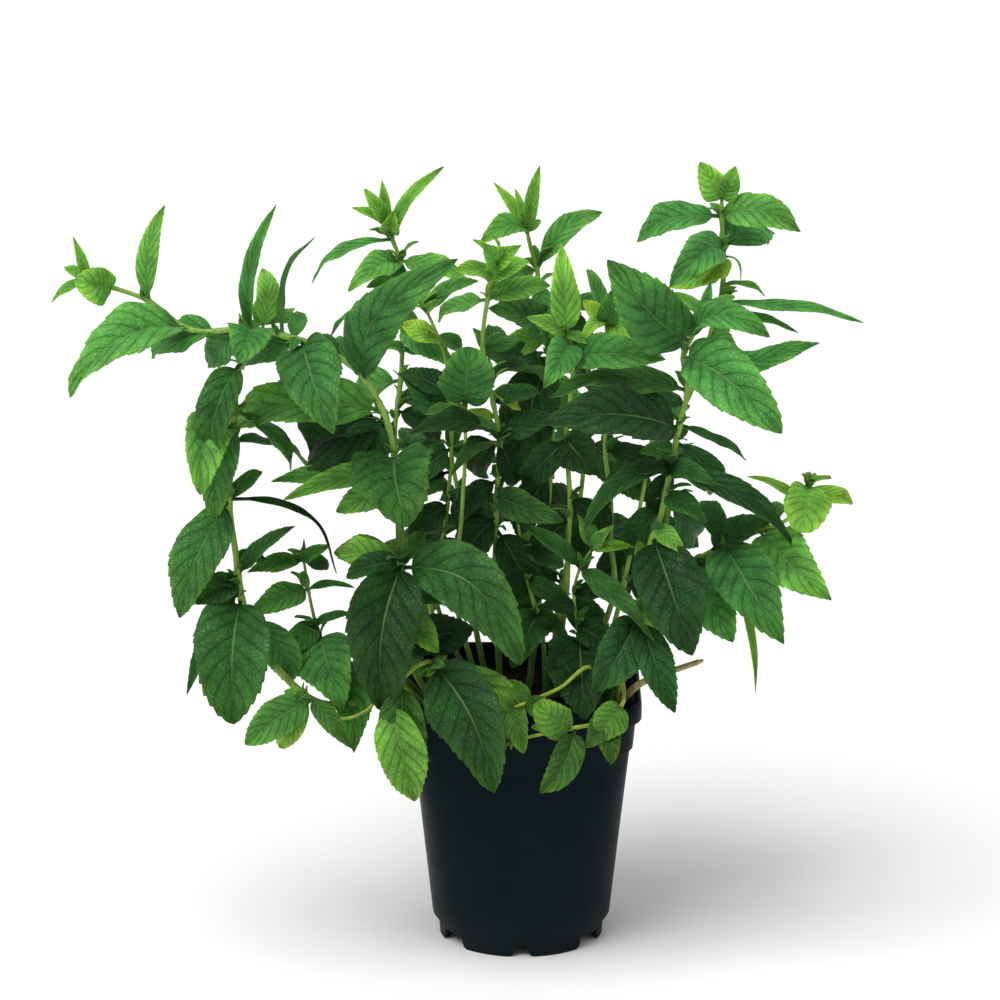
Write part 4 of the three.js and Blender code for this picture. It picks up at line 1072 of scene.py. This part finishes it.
def notch_cutter(direction, top_width, ground_width, pot):
    """A wedge with a rounded, flared foot that cuts one notch in the foot ring."""
    select_nothing()
    bpy.ops.mesh.primitive_cube_add(size=1)
    cutter = bpy.context.object
    with edit_mode(cutter):
        bpy.ops.mesh.subdivide(number_cuts=11)
    places = positions(cutter.data)
    top = pot.ring_height - 0.6 * MM
    height = -1 * MM + (top + 1 * MM) * (places[:, 2] + 0.5)
    share = np.clip(height / top, 0, 1)
    drop = np.clip(NOTCH_FOOT_RADIUS - height, 0, NOTCH_FOOT_RADIUS)
    flare = NOTCH_FOOT_RADIUS - np.sqrt(NOTCH_FOOT_RADIUS ** 2 - drop ** 2)
    width = ground_width + (top_width - ground_width) * share ** 0.7 + 2 * flare
    along = pot.ring_radius - 1.2 * MM + places[:, 1] * NOTCH_DEPTH
    angle = math.radians(direction)
    outward = np.array([math.cos(angle), math.sin(angle)])
    sideways = np.array([-math.sin(angle), math.cos(angle)])
    flat = np.outer(along, outward) + np.outer(places[:, 0] * width, -sideways)
    put_positions(cutter.data, np.column_stack([flat, height]))
    with edit_mode(cutter):
        bpy.ops.mesh.normals_make_consistent(inside=False)
    round_edges(cutter, NOTCH_EDGE_RADIUS, 3)
    return cutter


def drain_cutter(turn):
    """A cylinder that cuts one drain hole in the floor."""
    select_nothing()
    middle = (DRAIN_REACH * math.cos(turn), DRAIN_REACH * math.sin(turn), DRAIN_HEIGHT)
    bpy.ops.mesh.primitive_cylinder_add(
        vertices=32, radius=DRAIN_RADIUS, depth=DRAIN_HEIGHT, location=middle)
    bpy.ops.object.transform_apply(location=True, rotation=True, scale=True)
    return bpy.context.object


def build_pot(pot, material):
    """Spins the pot's section, squares it towards the rim and cuts its notches and holes."""
    select_nothing()
    bpy.ops.mesh.primitive_plane_add(size=1)
    piece = bpy.context.object
    piece.name = "nursery_pot"
    with edit_mode(piece):
        shaped = bmesh.from_edit_mesh(piece.data)
        bmesh.ops.delete(shaped, geom=shaped.verts[:], context="VERTS")
        corners = [shaped.verts.new((reach, 0, height)) for reach, height in pot_section(pot)]
        for start, end in zip(corners, corners[1:]):
            shaped.edges.new((start, end))
        bmesh.update_edit_mesh(piece.data)
        bpy.ops.mesh.select_all(action="SELECT")
        bpy.ops.mesh.spin(steps=pot.sides, angle=TURN, center=(0, 0, 0), axis=(0, 0, 1))
        bpy.ops.mesh.select_all(action="SELECT")
        bpy.ops.mesh.remove_doubles(threshold=0.01 * MM)
        bpy.ops.mesh.normals_make_consistent(inside=False)
    put_positions(piece.data, squared(positions(piece.data), pot))
    cutters = [notch_cutter(way, top * MM, ground * MM, pot) for way, top, ground in NOTCHES]
    cutters += [drain_cutter(TURN * (i + 0.5) / DRAIN_HOLES) for i in range(DRAIN_HOLES)]
    for cutter in cutters:
        apply_modifier(piece, "BOOLEAN", operation="DIFFERENCE", object=cutter, solver="EXACT")
        bpy.data.objects.remove(cutter)
    round_edges(piece, POT_EDGE_RADIUS, 2)
    put_positions(piece.data, positions(piece.data) + np.array(POT_CENTRE))
    select_only(piece)
    bpy.ops.object.shade_smooth_by_angle(angle=math.radians(35))
    give_material(piece, material)
    return piece


# The soil

CRUST_THICKNESS = 3.5 * MM
CRUST_GAP = 0.55 * MM
LARGE_CRUMB = 2.1
SMALL_CRUMB = 1.15
# The waves that make the crust crumbly: the height of each, and its radians a millimetre
CRUMBLES = (
    (0.5, 0.42), (0.5, 0.55), (0.42, 0.8), (0.36, 1.05), (0.3, 1.4), (0.26, 1.8), (0.22, 2.3),
    (0.2, 2.9),
)


def lump_height(x, y, lump):
    """Height of the soil's lumps at a place, in metres, as on its solid."""
    along, back = x / MM, y / MM
    broad = np.sin(along * 0.21 + 1) * np.cos(back * 0.17)
    fine = 0.5 * np.sin(along * 0.5 - back * 0.4)
    inside = np.clip((50 - np.hypot(along, back)) / 8, 0, 1)
    return inside * lump * (broad + fine)


def inside_pot(x, y, pot):
    """A place on a square with sides of 2, moved to its place inside the pot's collar."""
    half = RIM_HALF_WIDTH - pot.collar_inset - pot.wall - CRUST_GAP
    angle = math.atan2(y, x)
    return np.array([x, y]) * half * squareness(angle, pot.rim_corner) / squareness(angle, 1e-6)


def build_crumbs(soil, pot, chance):
    """The loose crumbs on the crust: a third of them large, and the others small."""
    crumbs = []
    large = soil.clods // 3
    for detail, count, size in ((2, large, LARGE_CRUMB), (1, soil.clods - large, SMALL_CRUMB)):
        select_nothing()
        bpy.ops.mesh.primitive_ico_sphere_add(subdivisions=detail, radius=1)
        model = bpy.context.object
        ball = positions(model.data)
        for _ in range(count):
            x, y = inside_pot(*chance.uniform(-0.97, 0.97, 2), pot)
            stretch = chance.uniform(0.5, 1.3, 3) * size * chance.uniform(0.5, 1.2) * MM
            uneven = ball * (1 + chance.normal(0, 0.16, (len(ball), 1)))
            height = soil.level + 1.5 * MM + lump_height(x, y, soil.lump)
            crumbs.append(add_object("crumb", model.data.copy()))
            put_positions(crumbs[-1].data, uneven * stretch + (x, y, height))
        bpy.data.objects.remove(model)
    return crumbs


def build_crust(soil, pot, material):
    """A crumbly sheet of soil that fits the inside of the pot, strewn with crumbs."""
    select_nothing()
    bpy.ops.mesh.primitive_grid_add(x_subdivisions=soil.cells, y_subdivisions=soil.cells, size=2)
    piece = bpy.context.object
    piece.name = "soil_crust"
    places = positions(piece.data)
    for row in places:
        row[:2] = inside_pot(row[0], row[1], pot)
    x, y = places[:, 0], places[:, 1]
    chance = np.random.default_rng(SEED)
    turns, starts = chance.uniform(0, TURN, (2, len(CRUMBLES)))
    bumps = sum(
        size * np.sin(x / MM * wave * math.cos(turn) + y / MM * wave * math.sin(turn) + start)
        for (size, wave), turn, start in zip(CRUMBLES, turns, starts))
    rough = np.abs(bumps) * 0.9 + chance.normal(0, 0.22, len(places))
    places[:, 2] = soil.level + 0.9 * MM + lump_height(x, y, soil.lump) + rough * MM
    put_positions(piece.data, places)
    apply_modifier(piece, "SOLIDIFY", thickness=CRUST_THICKNESS, offset=-1)
    join([piece, *build_crumbs(soil, pot, chance)])
    put_positions(piece.data, positions(piece.data) + np.array(POT_CENTRE))
    bpy.ops.object.shade_smooth_by_angle(angle=math.radians(50))
    give_material(piece, material)
    return piece


# Stems and leaves. Lengths are in millimetres here, up to the last step of each mesh.

ROUTE_SAMPLES = 200
ALONG_ROUTE = np.linspace(0, 1, ROUTE_SAMPLES + 1)
FOUND_WITHIN = 0.06
STALK_SIDES = 12
STALK_SQUARENESS = 4
STALK_FLATS = 0.84
STALK_END = 0.5

# The blades that every leaf is copied from: name, teeth a side, rows a tooth, and columns. The
# first is for leaves over the first length, and the second for those over the second.
BLADES = (
    ("large_blade", 14, 4, 16), ("middle_blade", 10, 4, 12), ("small_blade", 6, 4, 8),
    ("bud_blade", 2, 3, 4),
)
BLADE_LENGTHS = (40, 20)
PETIOLE_ROWS = 3
JOINT_LEAF_LENGTH = 24
BUD_LEAVES = 6
QUARTER_TURN = 1.571

# A leaf takes on the form of a large one, and gets its own stalk, between these lengths, and it
# gets a blunt tip between these widths
LARGE_FORM = (14, 50)
STALKED_FORM = (12, 45)
BLUNT_FORM = (0.7, 0.86)
BLUNTING = 0.34
PETIOLE_MOST = 0.16

# How a leaf's age follows from its length, and its warmth from the age that its plan adds
USUAL_LENGTH = 34
AGEING_LENGTH = 260
# A leaf that its plan lightens past this point also turns yellower, as a painted glow of light
# shining through it
GLOW_BELOW = -0.28
GLOW_GAIN = 1.5

# How much one leaf differs from another, as least and most
TIP_POINT = (0.82, 1.1)
BOW_PLAY = (-0.012, 0.012)
TWIST = (-0.30, 0.30)
CURL = (0.03, 0.13)
CROWN = (0.26, 0.44)
TOOTH_SIZE = (0.55, 1.15)

# The form of a blade and its teeth, as shares of its length, its half-width or a tooth
TOOTH_PEAK = 0.75
TOOTH_LEAN = 0.25
FOOT_ROUNDING = 0.58
RIDGE_SOFTNESS = 0.07
CROWN_DROP = 1.15
RIPPLE = 0.075
RIPPLE_TURNS = 3.6
CURL_START = 0.55


class Route:
    """A smooth curve through a stem's points, in millimetres from the middle of the pot."""

    def __init__(self, stem):
        points = [np.array(point, float) for point in stem.route]
        points.insert(0, points[0] - (0, 0, ROOT_DEPTH))
        self.points = np.array([2 * points[0] - points[1], *points, 2 * points[-1] - points[-2]])
        self.count = len(stem.route)
        samples = np.array([self.at(i / ROUTE_SAMPLES) for i in range(ROUTE_SAMPLES + 1)])
        steps = np.linalg.norm(np.diff(samples, axis=0), axis=1)
        self.lengths = np.concatenate([[0], np.cumsum(steps)])
        self.length = self.lengths[-1]
        stretches = math.ceil(self.length / STEM_STEP)
        self.spine = np.array([self.at_length(i / stretches) for i in range(stretches + 1)])

    def at(self, share):
        """The point at a share of the curve's own parameter."""
        whole = min(int(share * self.count), self.count - 1)
        t = share * self.count - whole
        before, start, end, after = self.points[whole:whole + 4]
        leave, arrive = (end - before) / 2, (after - start) / 2
        return (start + leave * t + (3 * (end - start) - 2 * leave - arrive) * t ** 2
                + (2 * (start - end) + leave + arrive) * t ** 3)

    def at_length(self, share):
        """The point at a share of the curve's length."""
        return self.at(np.interp(share * self.length, self.lengths, ALONG_ROUTE))

    def at_place(self, place):
        """The point at a place that counts the route's points from 0."""
        return self.at((place + 1) / self.count)

    def direction(self, place):
        """The way the stem grows at a place."""
        share = min((place + 1) / self.count, 0.999)
        return unit(self.at(min(share + 0.02, 1)) - self.at(share - 0.02))

    def on_solid(self, place):
        """The nearest point to a place on the straight stretches of the stem's solid."""
        aim = self.at_place(place)
        starts, ends = self.spine[:-1], self.spine[1:]
        run = ends - starts
        share = np.clip(((aim - starts) * run).sum(1) / (run ** 2).sum(1), 0, 1)
        near = starts + run * share[:, None]
        return near[np.argmin(np.linalg.norm(near - aim, axis=1))]


def bent_tip(base, tip, turn, lift):
    """Where a leaf's tip goes when the leaf is turned and lifted by angles in degrees."""
    reach = tip - base
    level = unit(np.array([-reach[1], reach[0], 0]))
    reach = turned(reach, level, -math.radians(lift))
    return base + turned(reach, np.array([0, 0, 1.0]), math.radians(turn))


def found_tip(base, tip, vertices):
    """Where a leaf's solid has its tip, or the planned tip where that swings too far from it."""
    best, miss = tip, FOUND_WITHIN
    for turn, lift in BENDS:
        tried = bent_tip(base, tip, turn, lift)
        away = vertices.find(Vector(tried) * MM + POT_CENTRE)[2] / MM
        if abs(away - SOLID_BLADE_THICKNESS / 2) < miss:
            best, miss = tried, abs(away - SOLID_BLADE_THICKNESS / 2)
    return best


def half_outline(share, point):
    """Half-width of a leaf along its blade, at most 1. A large point gives a long tip."""
    widest = FOOT_ROUNDING / (FOOT_ROUNDING + point)
    most = widest ** FOOT_ROUNDING * (1 - widest) ** point
    return share ** FOOT_ROUNDING * (1 - share) ** point / most


def blade_model(name, teeth, rows_a_tooth, columns, material):
    """A flat leaf with two faces, one unit long and wide, which every leaf of its size copies."""
    rows = PETIOLE_ROWS + teeth * rows_a_tooth
    select_nothing()
    bpy.ops.mesh.primitive_grid_add(x_subdivisions=columns, y_subdivisions=rows, size=2)
    model = bpy.context.object
    model.name = name
    mesh = model.data
    places = positions(mesh)
    places[:, 0] -= 0.6 * np.sin(TURN * places[:, 0]) / TURN
    places[:, 1] = (places[:, 1] + 1) / 2
    put_positions(mesh, places)
    apply_modifier(model, "SOLIDIFY", thickness=0.1, offset=0)
    places = positions(mesh)
    split = PETIOLE_ROWS / rows
    share = np.clip((places[:, 1] - split) / (1 - split), 0, 1)
    corners = np.empty(len(mesh.loops), int)
    mesh.loops.foreach_get("vertex_index", corners)
    own = np.column_stack([places[corners, 0] / 2 + 0.5, share[corners]])
    mesh.uv_layers.active.data.foreach_set("uv", own.astype(np.float32).ravel())
    mesh.shade_smooth()
    mesh.materials.append(material)
    model["teeth"] = teeth
    model["split"] = split
    return model


class Blade:
    """The form of one leaf: where the vertices of its flat model go."""

    def __init__(self, model, base, tip, width, bow, leaf, chance):
        flat = positions(model.data)
        self.base, self.leaf, self.teeth = base, leaf, model["teeth"]
        self.length = np.linalg.norm(tip - base)
        self.along = (tip - base) / self.length
        self.widest = width * self.length / 2
        self.large = smooth_step(*LARGE_FORM, self.length)
        self.point = chance.uniform(*TIP_POINT) - BLUNTING * smooth_step(*BLUNT_FORM, width)
        self.bow = bow + chance.uniform(*BOW_PLAY)
        self.twist = chance.uniform(*TWIST)
        self.curl = chance.uniform(*CURL)
        self.crown = chance.uniform(*CROWN)
        self.tooth_sizes = chance.uniform(*TOOTH_SIZE, 2 * self.teeth)
        stalked = smooth_step(*STALKED_FORM, self.length)
        self.petiole = min(PETIOLE_MOST, leaf.petiole / MM / max(self.length, 1) * stalked + 0.02)
        self.across, along, self.side = flat[:, 0], flat[:, 1], np.sign(flat[:, 2])
        self.out, self.left = np.abs(self.across), self.across > 0
        split = model["split"]
        # How far along its blade each vertex lies, and how far along the leaf with its stalk
        self.share = np.clip((along - split) / (1 - split), 0, 1)
        self.run = np.where(along < split, self.petiole * along / split,
                            self.petiole + (1 - self.petiole) * self.share)

    def cut_teeth(self, wave):
        """Leans each tooth of the edge forward, and gives the reach of each vertex sideways."""
        beat = (self.share * self.teeth) % 1
        beat = np.where(beat > 0.9999, 0, beat)
        number = np.minimum((self.share * self.teeth).astype(int), self.teeth - 1)
        size = self.tooth_sizes[number + self.teeth * self.left]
        rise = np.where(beat < TOOTH_PEAK, beat / TOOTH_PEAK, (1 - beat) / (1 - TOOTH_PEAK))
        outline = half_outline(self.share, self.point)
        tooth = rise * self.out ** 8 * size * np.sqrt(outline)
        self.run += tooth * TOOTH_LEAN / self.teeth * (self.share < 0.97)
        stalk_half = 0.6 + 0.4 * self.large
        half = np.maximum(self.widest * outline, stalk_half * (1 - self.share) ** 0.5)
        uneven = 1 + 0.05 * np.sin(TURN * 1.3 * self.share + 3 * wave + 2.2 * self.left)
        stands_out = np.sign(self.across) * tooth * self.leaf.tooth * self.widest
        return self.across * half * uneven + stands_out

    def relief(self, reach, fold, wave):
        """How far each vertex stands off the flat blade: fold, waves, quilting and midrib."""
        share, out, widest = self.share, self.out, self.widest
        spread = np.abs(reach) / widest
        slope = np.sqrt(spread ** 2 + RIDGE_SOFTNESS ** 2) - RIDGE_SOFTNESS
        folded = (math.sin(fold) + self.crown) * slope
        lift = widest * (folded - self.crown * CROWN_DROP * spread ** 2)
        edge = np.sin(wave + np.sign(self.across) + self.run * WAVE_TURNS)
        lift += np.abs(reach) * out * EDGE_WAVE * edge
        ripple = np.sin(TURN * RIPPLE_TURNS * share + 2.1 * wave + 2.5 * self.left)
        outline = np.sqrt(half_outline(share, self.point))
        lift += widest * RIPPLE * self.large * out ** 3 * ripple * outline
        swept = share - VEIN_SWEEP * out ** VEIN_CURVE + VEIN_STAGGER * self.left
        bulge = np.abs(np.sin(math.pi * swept * self.leaf.vein_pairs)) ** 0.65
        fade = smooth_step(0, 0.16, out) * (1 - out ** 6) * np.sin(math.pi * share) ** 0.5
        lift += widest * self.leaf.quilting * (bulge - 0.6) * fade
        groove = np.exp(-(reach / (0.3 + 0.03 * widest)) ** 2) * (1 - 0.6 * share)
        lift -= 0.02 * widest * groove * (share > 0)
        foot = 1 - smooth_step(0.0, 0.12, share)
        thick = self.leaf.thickness / MM / 2 * (1 + 1.6 * foot)
        midrib = groove * (0.2 + 0.02 * widest) * (1 + 0.6 * foot)
        return lift + self.side * thick - (self.side < 0) * midrib

    def places(self, facing, arch, fold, wave):
        """The vertices' places in metres, on a blade that arches, bows, curls and twists."""
        up = unit(facing - self.along * (facing @ self.along))
        aside = unit(np.cross((0, -1, 0), self.along) + 1e-6)
        reach = self.cut_teeth(wave)
        offset = self.relief(reach, fold, wave)
        t = self.run
        curled = smooth_step(CURL_START, 1.0, t)
        rise = arch * 4 * t * (1 - t) - self.curl * curled ** 1.5
        slope = arch * 4 * (1 - 2 * t) - 3.2 * self.curl * curled
        swerve = self.bow * np.sin(math.pi * t)
        swing = self.bow * math.pi * np.cos(math.pi * t)
        tangent = self.along + slope[:, None] * up + swing[:, None] * aside
        tangent /= np.linalg.norm(tangent, axis=1)[:, None]
        across = np.cross(up, tangent)
        across /= np.linalg.norm(across, axis=1)[:, None]
        normal = np.cross(tangent, across)
        turn = (self.twist * (t - 0.3) * (t > self.petiole))[:, None]
        broad = across * np.cos(turn) + normal * np.sin(turn)
        normal = normal * np.cos(turn) - across * np.sin(turn)
        line = t[:, None] * self.along + rise[:, None] * up + swerve[:, None] * aside
        places = self.base + self.length * line
        places += (reach * math.cos(fold))[:, None] * broad + offset[:, None] * normal
        return places * MM + np.array(POT_CENTRE)


def stalk_section():
    """A small closed curve: a square with round corners, one unit from middle to corner."""
    curve, outline = poly_curve("stalk_section", "2D", STALK_SIDES)
    outline.use_cyclic_u = True
    for index, point in enumerate(outline.points):
        x, y = math.cos(TURN * index / STALK_SIDES), math.sin(TURN * index / STALK_SIDES)
        power = STALK_SQUARENESS
        squarer = 1 / (abs(x) ** power + abs(y) ** power) ** (1 / power)
        size = math.sqrt(0.5) * squarer * STALK_FLATS
        point.co = ((x - y) * size, (x + y) * size, 0, 1)
    return add_object("stalk_section", curve)


def build_stalk(stem, route, section, stalk, material):
    """A square stalk along its route, thinner towards its tip and swollen at its joints."""
    count = max(int(route.length * MM / stalk.step), 8)
    shares = np.linspace(0, 1, count + 1)
    line = np.array([route.at_length(share) for share in shares])
    thick = stem.girth * (1 + (STEM_TIP_SHARE - 1) * shares)
    joints = [route.at_place(place) for place in sorted({row[0] for row in stem.leaves})]
    if joints:
        near = np.linalg.norm(line[:, None] - np.array(joints)[None], axis=2).min(1)
        thick = thick * (1 + stalk.joint_swell * np.exp(-(near / (1.2 * stem.girth)) ** 2))
    thick[-1] *= STALK_END
    curve, middle = poly_curve(stem.name, "3D", count + 1)
    curve.bevel_mode = "OBJECT"
    curve.bevel_object = section
    curve.use_fill_caps = True
    for point, place, radius in zip(middle.points, line, thick):
        point.co = (*(place * MM + np.array(POT_CENTRE)), 1)
        point.radius = radius * MM
    select_only(add_object(stem.name, curve))
    bpy.ops.object.convert(target="MESH")
    piece = bpy.context.object
    give_material(piece, material)
    rings = search_tree([Vector(place * MM) + POT_CENTRE for place in line])
    ring = np.array([rings.find(vertex.co)[1] for vertex in piece.data.vertices])
    put_tone(piece.data, 1 - shares[ring], stem.tones[2] / 100, 0.0 if stem.leaves else 1.0)
    piece.data.shade_smooth()
    return piece


class Grower:
    """Grows the leafy stems, with the settings, blades, finishes and draws that they share."""

    def __init__(self, leaf, stalk):
        blotches, veins = shared_groups()
        finish = leaf_material(leaf, blotches, veins)
        self.leaf, self.stalk = leaf, stalk
        self.stalk_finish = stalk_material(stalk, blotches)
        self.models = [blade_model(*blade, finish) for blade in BLADES]
        self.section = stalk_section()
        self.draws = seeded_draws(SEED)
        self.chance = np.random.default_rng(SEED)

    def remove_models(self):
        """Removes what the stems were copied from."""
        for helper in (*self.models, self.section):
            bpy.data.objects.remove(helper)

    def add_blade(self, model, places, age, warmth):
        """One leaf as an object with its own copy of the blade's mesh."""
        mesh = model.data.copy()
        under = positions(mesh)[:, 2] < 0
        put_positions(mesh, places)
        put_tone(mesh, age, warmth, under)
        return add_object("leaf", mesh)

    def add_small(self, base, way, size, facing, width, arch, fold, tone):
        """One small young leaf, for a joint or a tip."""
        wave, model = self.chance.uniform(0, TURN), self.models[-1]
        blade = Blade(model, base, base + way * size, width, 0, self.leaf, self.chance)
        return self.add_blade(model, blade.places(facing, arch, math.radians(fold), wave), *tone)

    def add_axil_leaves(self, grow, base, tip, tone):
        """Two small leaves where a large leaf leaves its stem, unless it hangs down there."""
        out = unit(tip - base)
        if grow[2] < -0.2 or (out[2] < -0.5 and grow[2] < 0.4):
            return []
        sideways = unit(np.cross(grow, out) + 1e-6)
        uniform, made = self.chance.uniform, []
        for side in (1, -1):
            way = unit(grow * uniform(0.5, 0.9) + out * uniform(0.2, 0.6)
                       + side * sideways * uniform(0.25, 0.6))
            made.append(self.add_small(base, way, uniform(6, 15), grow + out * 0.2,
                                       uniform(0.36, 0.5), 0.1, 18, tone))
        return made

    def add_bud(self, route, tone):
        """A tuft of small folded leaves at the tip of a stem, in pairs that close up."""
        end = route.at(1.0)
        grow = unit(end - route.at(0.97))
        level = unit(np.cross(grow, (0.3, 0.9, 0.2)))
        uniform, made = self.chance.uniform, []
        for index in range(BUD_LEAVES):
            pair = index // 2
            turn = index * QUARTER_TURN + 0.4 * pair + uniform(-0.2, 0.2)
            ring = turned(level, grow, turn)
            way = unit(grow + ring * (0.75 - 0.22 * pair))
            size = uniform(7.5, 10) * (1 - 0.16 * pair)
            made.append(self.add_small(end - grow * (1.5 - 0.6 * pair), way, size,
                                       grow - ring * 0.4, uniform(0.36, 0.48), 0.12, 24, tone))
        return made

    def tone(self, stem, leaf, length):
        """How old and how yellow a leaf looks: younger towards the tip and where it is small, with
        painted shade and glow from its plan.
        """
        young, old, warmth = (tone / 100 for tone in stem.tones)
        added_tone_and_light = leaf.age / 100
        down = 1 - leaf.place / (len(stem.route) - 1)
        # Lower on the stem a leaf is older and darker, partly as painted shade low in the plant.
        age = young + (old - young) * smooth_step(-0.02, 0.80, down)
        age += (length - USUAL_LENGTH) / AGEING_LENGTH
        # The plan adds painted shade deep in the plant and painted glow where light shines
        # through, besides the leaf's own tone.
        age += added_tone_and_light + self.chance.normal(0, 0.05)
        # The most lightened leaves also turn yellower, as a painted glow of light shining through
        # them.
        warmth += GLOW_GAIN * max(0, GLOW_BELOW - added_tone_and_light)
        warmth += self.chance.normal(0, 0.1)
        return float(np.clip(age, 0.02, 1)), float(np.clip(warmth, 0, 1))

    def add_leaf(self, stem, route, row, draw, vertices=None):
        """One planned leaf, with the small leaves in its joint when it is large."""
        leaf = Leaf(*row)
        fold, wave = math.radians(FOLD_LEAST + FOLD_SPREAD * draw()), TURN * draw()
        base, tip = route.at_place(leaf.place), np.array([leaf.x, leaf.y, leaf.z], float)
        if vertices:
            tip = found_tip(route.on_solid(leaf.place), tip, vertices)
        length = np.linalg.norm(tip - base)
        model = self.models[sum(length <= limit for limit in BLADE_LENGTHS)]
        blade = Blade(model, base, tip, leaf.width / 100, leaf.bow / 100, self.leaf, self.chance)
        face = math.radians(leaf.face)
        facing = np.array([0, -math.sin(face), math.cos(face)])
        places = blade.places(facing, leaf.arch / 100, fold, wave)
        age, warmth = self.tone(stem, leaf, length)
        grown = [self.add_blade(model, places, age, warmth)]
        if length > JOINT_LEAF_LENGTH:
            grow = route.direction(leaf.place)
            grown += self.add_axil_leaves(grow, base, tip, (age * 0.5, warmth))
        return grown

    def grow(self, stem):
        """One leafy stem as one piece: its stalk, its leaves, and the small leaves on it."""
        route = Route(stem)
        node = "stem_" + stem.name
        vertices = search_tree([vertex.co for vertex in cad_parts[node].data.vertices])
        parts = [build_stalk(stem, route, self.section, self.stalk, self.stalk_finish)]
        for row in stem.leaves:
            parts += self.add_leaf(stem, route, row, lambda: next(self.draws), vertices)
        for row in stem.more:
            parts += self.add_leaf(stem, route, row, self.chance.random)
        if stem.leaves:
            parts += self.add_bud(route, (stem.tones[0] / 100 * 0.6, stem.tones[2] / 100))
        piece = join(parts)
        piece.name = "mint_" + stem.name
        place_piece(piece, "mint_leaf", node)


# The stage

FLOOR_SIZE = 14
KEY_PLACE = (-0.5, -0.4, 1.5)
KEY_TURN = (math.radians(24), math.radians(-20), 0)


def add_floor(stage):
    """A plain pale floor."""
    select_nothing()
    bpy.ops.mesh.primitive_plane_add(size=FLOOR_SIZE)
    floor = bpy.context.object
    floor.name = "floor"
    material, _, shader = new_material("pale_floor")
    shader["Base Color"].default_value = opaque(stage.floor_colour)
    shader["Roughness"].default_value = 0.9
    give_material(floor, material)


def add_lights(stage):
    """An even white surround and a wide soft light from above, a little to the left."""
    scene = bpy.context.scene
    scene.world = scene.world or bpy.data.worlds.new("surround")
    scene.world.use_nodes = True
    background = scene.world.node_tree.nodes["Background"]
    background.inputs["Color"].default_value = (1, 1, 1, 1)
    background.inputs["Strength"].default_value = stage.sky
    select_nothing()
    bpy.ops.object.light_add(type="SUN", location=KEY_PLACE, rotation=KEY_TURN)
    key = bpy.context.object
    key.name = "key_light"
    key.data.energy = stage.key_strength
    key.data.angle = stage.key_spread
    scene.view_settings.view_transform = "Standard"


def add_camera(stage):
    """The camera, a little above the plant and straight in front of the pot."""
    target = POT_CENTRE + Vector((-stage.aim_left, 0, stage.aim_height))
    back = Vector((0, -math.cos(stage.elevation), math.sin(stage.elevation)))
    select_nothing()
    bpy.ops.object.camera_add(
        location=target + back * stage.distance,
        rotation=(math.pi / 2 - stage.elevation, 0, 0))
    camera = bpy.context.object
    camera.data.lens = stage.lens
    bpy.context.scene.camera = camera


# Operators and their panel


class MINT_OT_add_stage(bpy.types.Operator):
    """Set the floor, the soft lights and the camera"""

    bl_idname = "mint.add_stage"
    bl_label = "Stage"

    def execute(self, context):
        stage = context.scene.mint_stage
        add_floor(stage)
        add_lights(stage)
        add_camera(stage)
        return {"FINISHED"}


class MINT_OT_add_pot(bpy.types.Operator):
    """Spin, square and notch the nursery pot"""

    bl_idname = "mint.add_pot"
    bl_label = "Nursery pot"

    def execute(self, context):
        pot = context.scene.mint_pot
        blotches = shared_groups()[0]
        place_piece(build_pot(pot, plastic_material(pot, blotches)), "pot_plastic", "pot")
        return {"FINISHED"}


class MINT_OT_add_soil(bpy.types.Operator):
    """Lay the crumbly crust on the soil and colour the soil under it"""

    bl_idname = "mint.add_soil"
    bl_label = "Soil"

    def execute(self, context):
        scene = context.scene
        material = soil_material(scene.mint_soil, shared_groups()[0])
        place_piece(build_crust(scene.mint_soil, scene.mint_pot, material), "soil")
        give_material(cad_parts["soil"], material)
        return {"FINISHED"}


class MINT_OT_add_stems(bpy.types.Operator):
    """Grow every leafy stem along its solid"""

    bl_idname = "mint.add_stems"
    bl_label = "Leafy stems"

    def execute(self, context):
        grower = Grower(context.scene.mint_leaf, context.scene.mint_stalk)
        for stem in STEMS:
            grower.grow(stem)
        grower.remove_models()
        return {"FINISHED"}


SETTINGS = {
    "mint_stage": StageSettings,
    "mint_pot": PotSettings,
    "mint_soil": SoilSettings,
    "mint_leaf": LeafSettings,
    "mint_stalk": StalkSettings,
}
STEPS = {
    MINT_OT_add_stage: ("mint_stage",),
    MINT_OT_add_pot: ("mint_pot",),
    MINT_OT_add_soil: ("mint_soil",),
    MINT_OT_add_stems: ("mint_leaf", "mint_stalk"),
}


class MINT_PT_panel(bpy.types.Panel):
    """The steps that build the plant, with their settings"""

    bl_label = "Potted Mint"
    bl_idname = "MINT_PT_panel"
    bl_space_type = "VIEW_3D"
    bl_region_type = "UI"
    bl_category = "Mint"

    def draw(self, context):
        for operator, groups in STEPS.items():
            box = self.layout.box()
            box.operator(operator.bl_idname)
            for group in groups:
                for name in SETTINGS[group].__annotations__:
                    box.prop(getattr(context.scene, group), name)


CLASSES = (*SETTINGS.values(), *STEPS, MINT_PT_panel)


def register():
    """Registers the classes and gives the scene its settings."""
    for made in CLASSES:
        bpy.utils.register_class(made)
    for name, settings in SETTINGS.items():
        setattr(bpy.types.Scene, name, bpy.props.PointerProperty(type=settings))


def unregister():
    """Takes the settings and the classes away again."""
    for name in SETTINGS:
        delattr(bpy.types.Scene, name)
    for made in reversed(CLASSES):
        bpy.utils.unregister_class(made)


def main():
    """Builds the whole plant."""
    register()
    bpy.ops.mint.add_stage()
    bpy.ops.mint.add_pot()
    bpy.ops.mint.add_soil()
    bpy.ops.mint.add_stems()


if __name__ == "__main__":
    main()
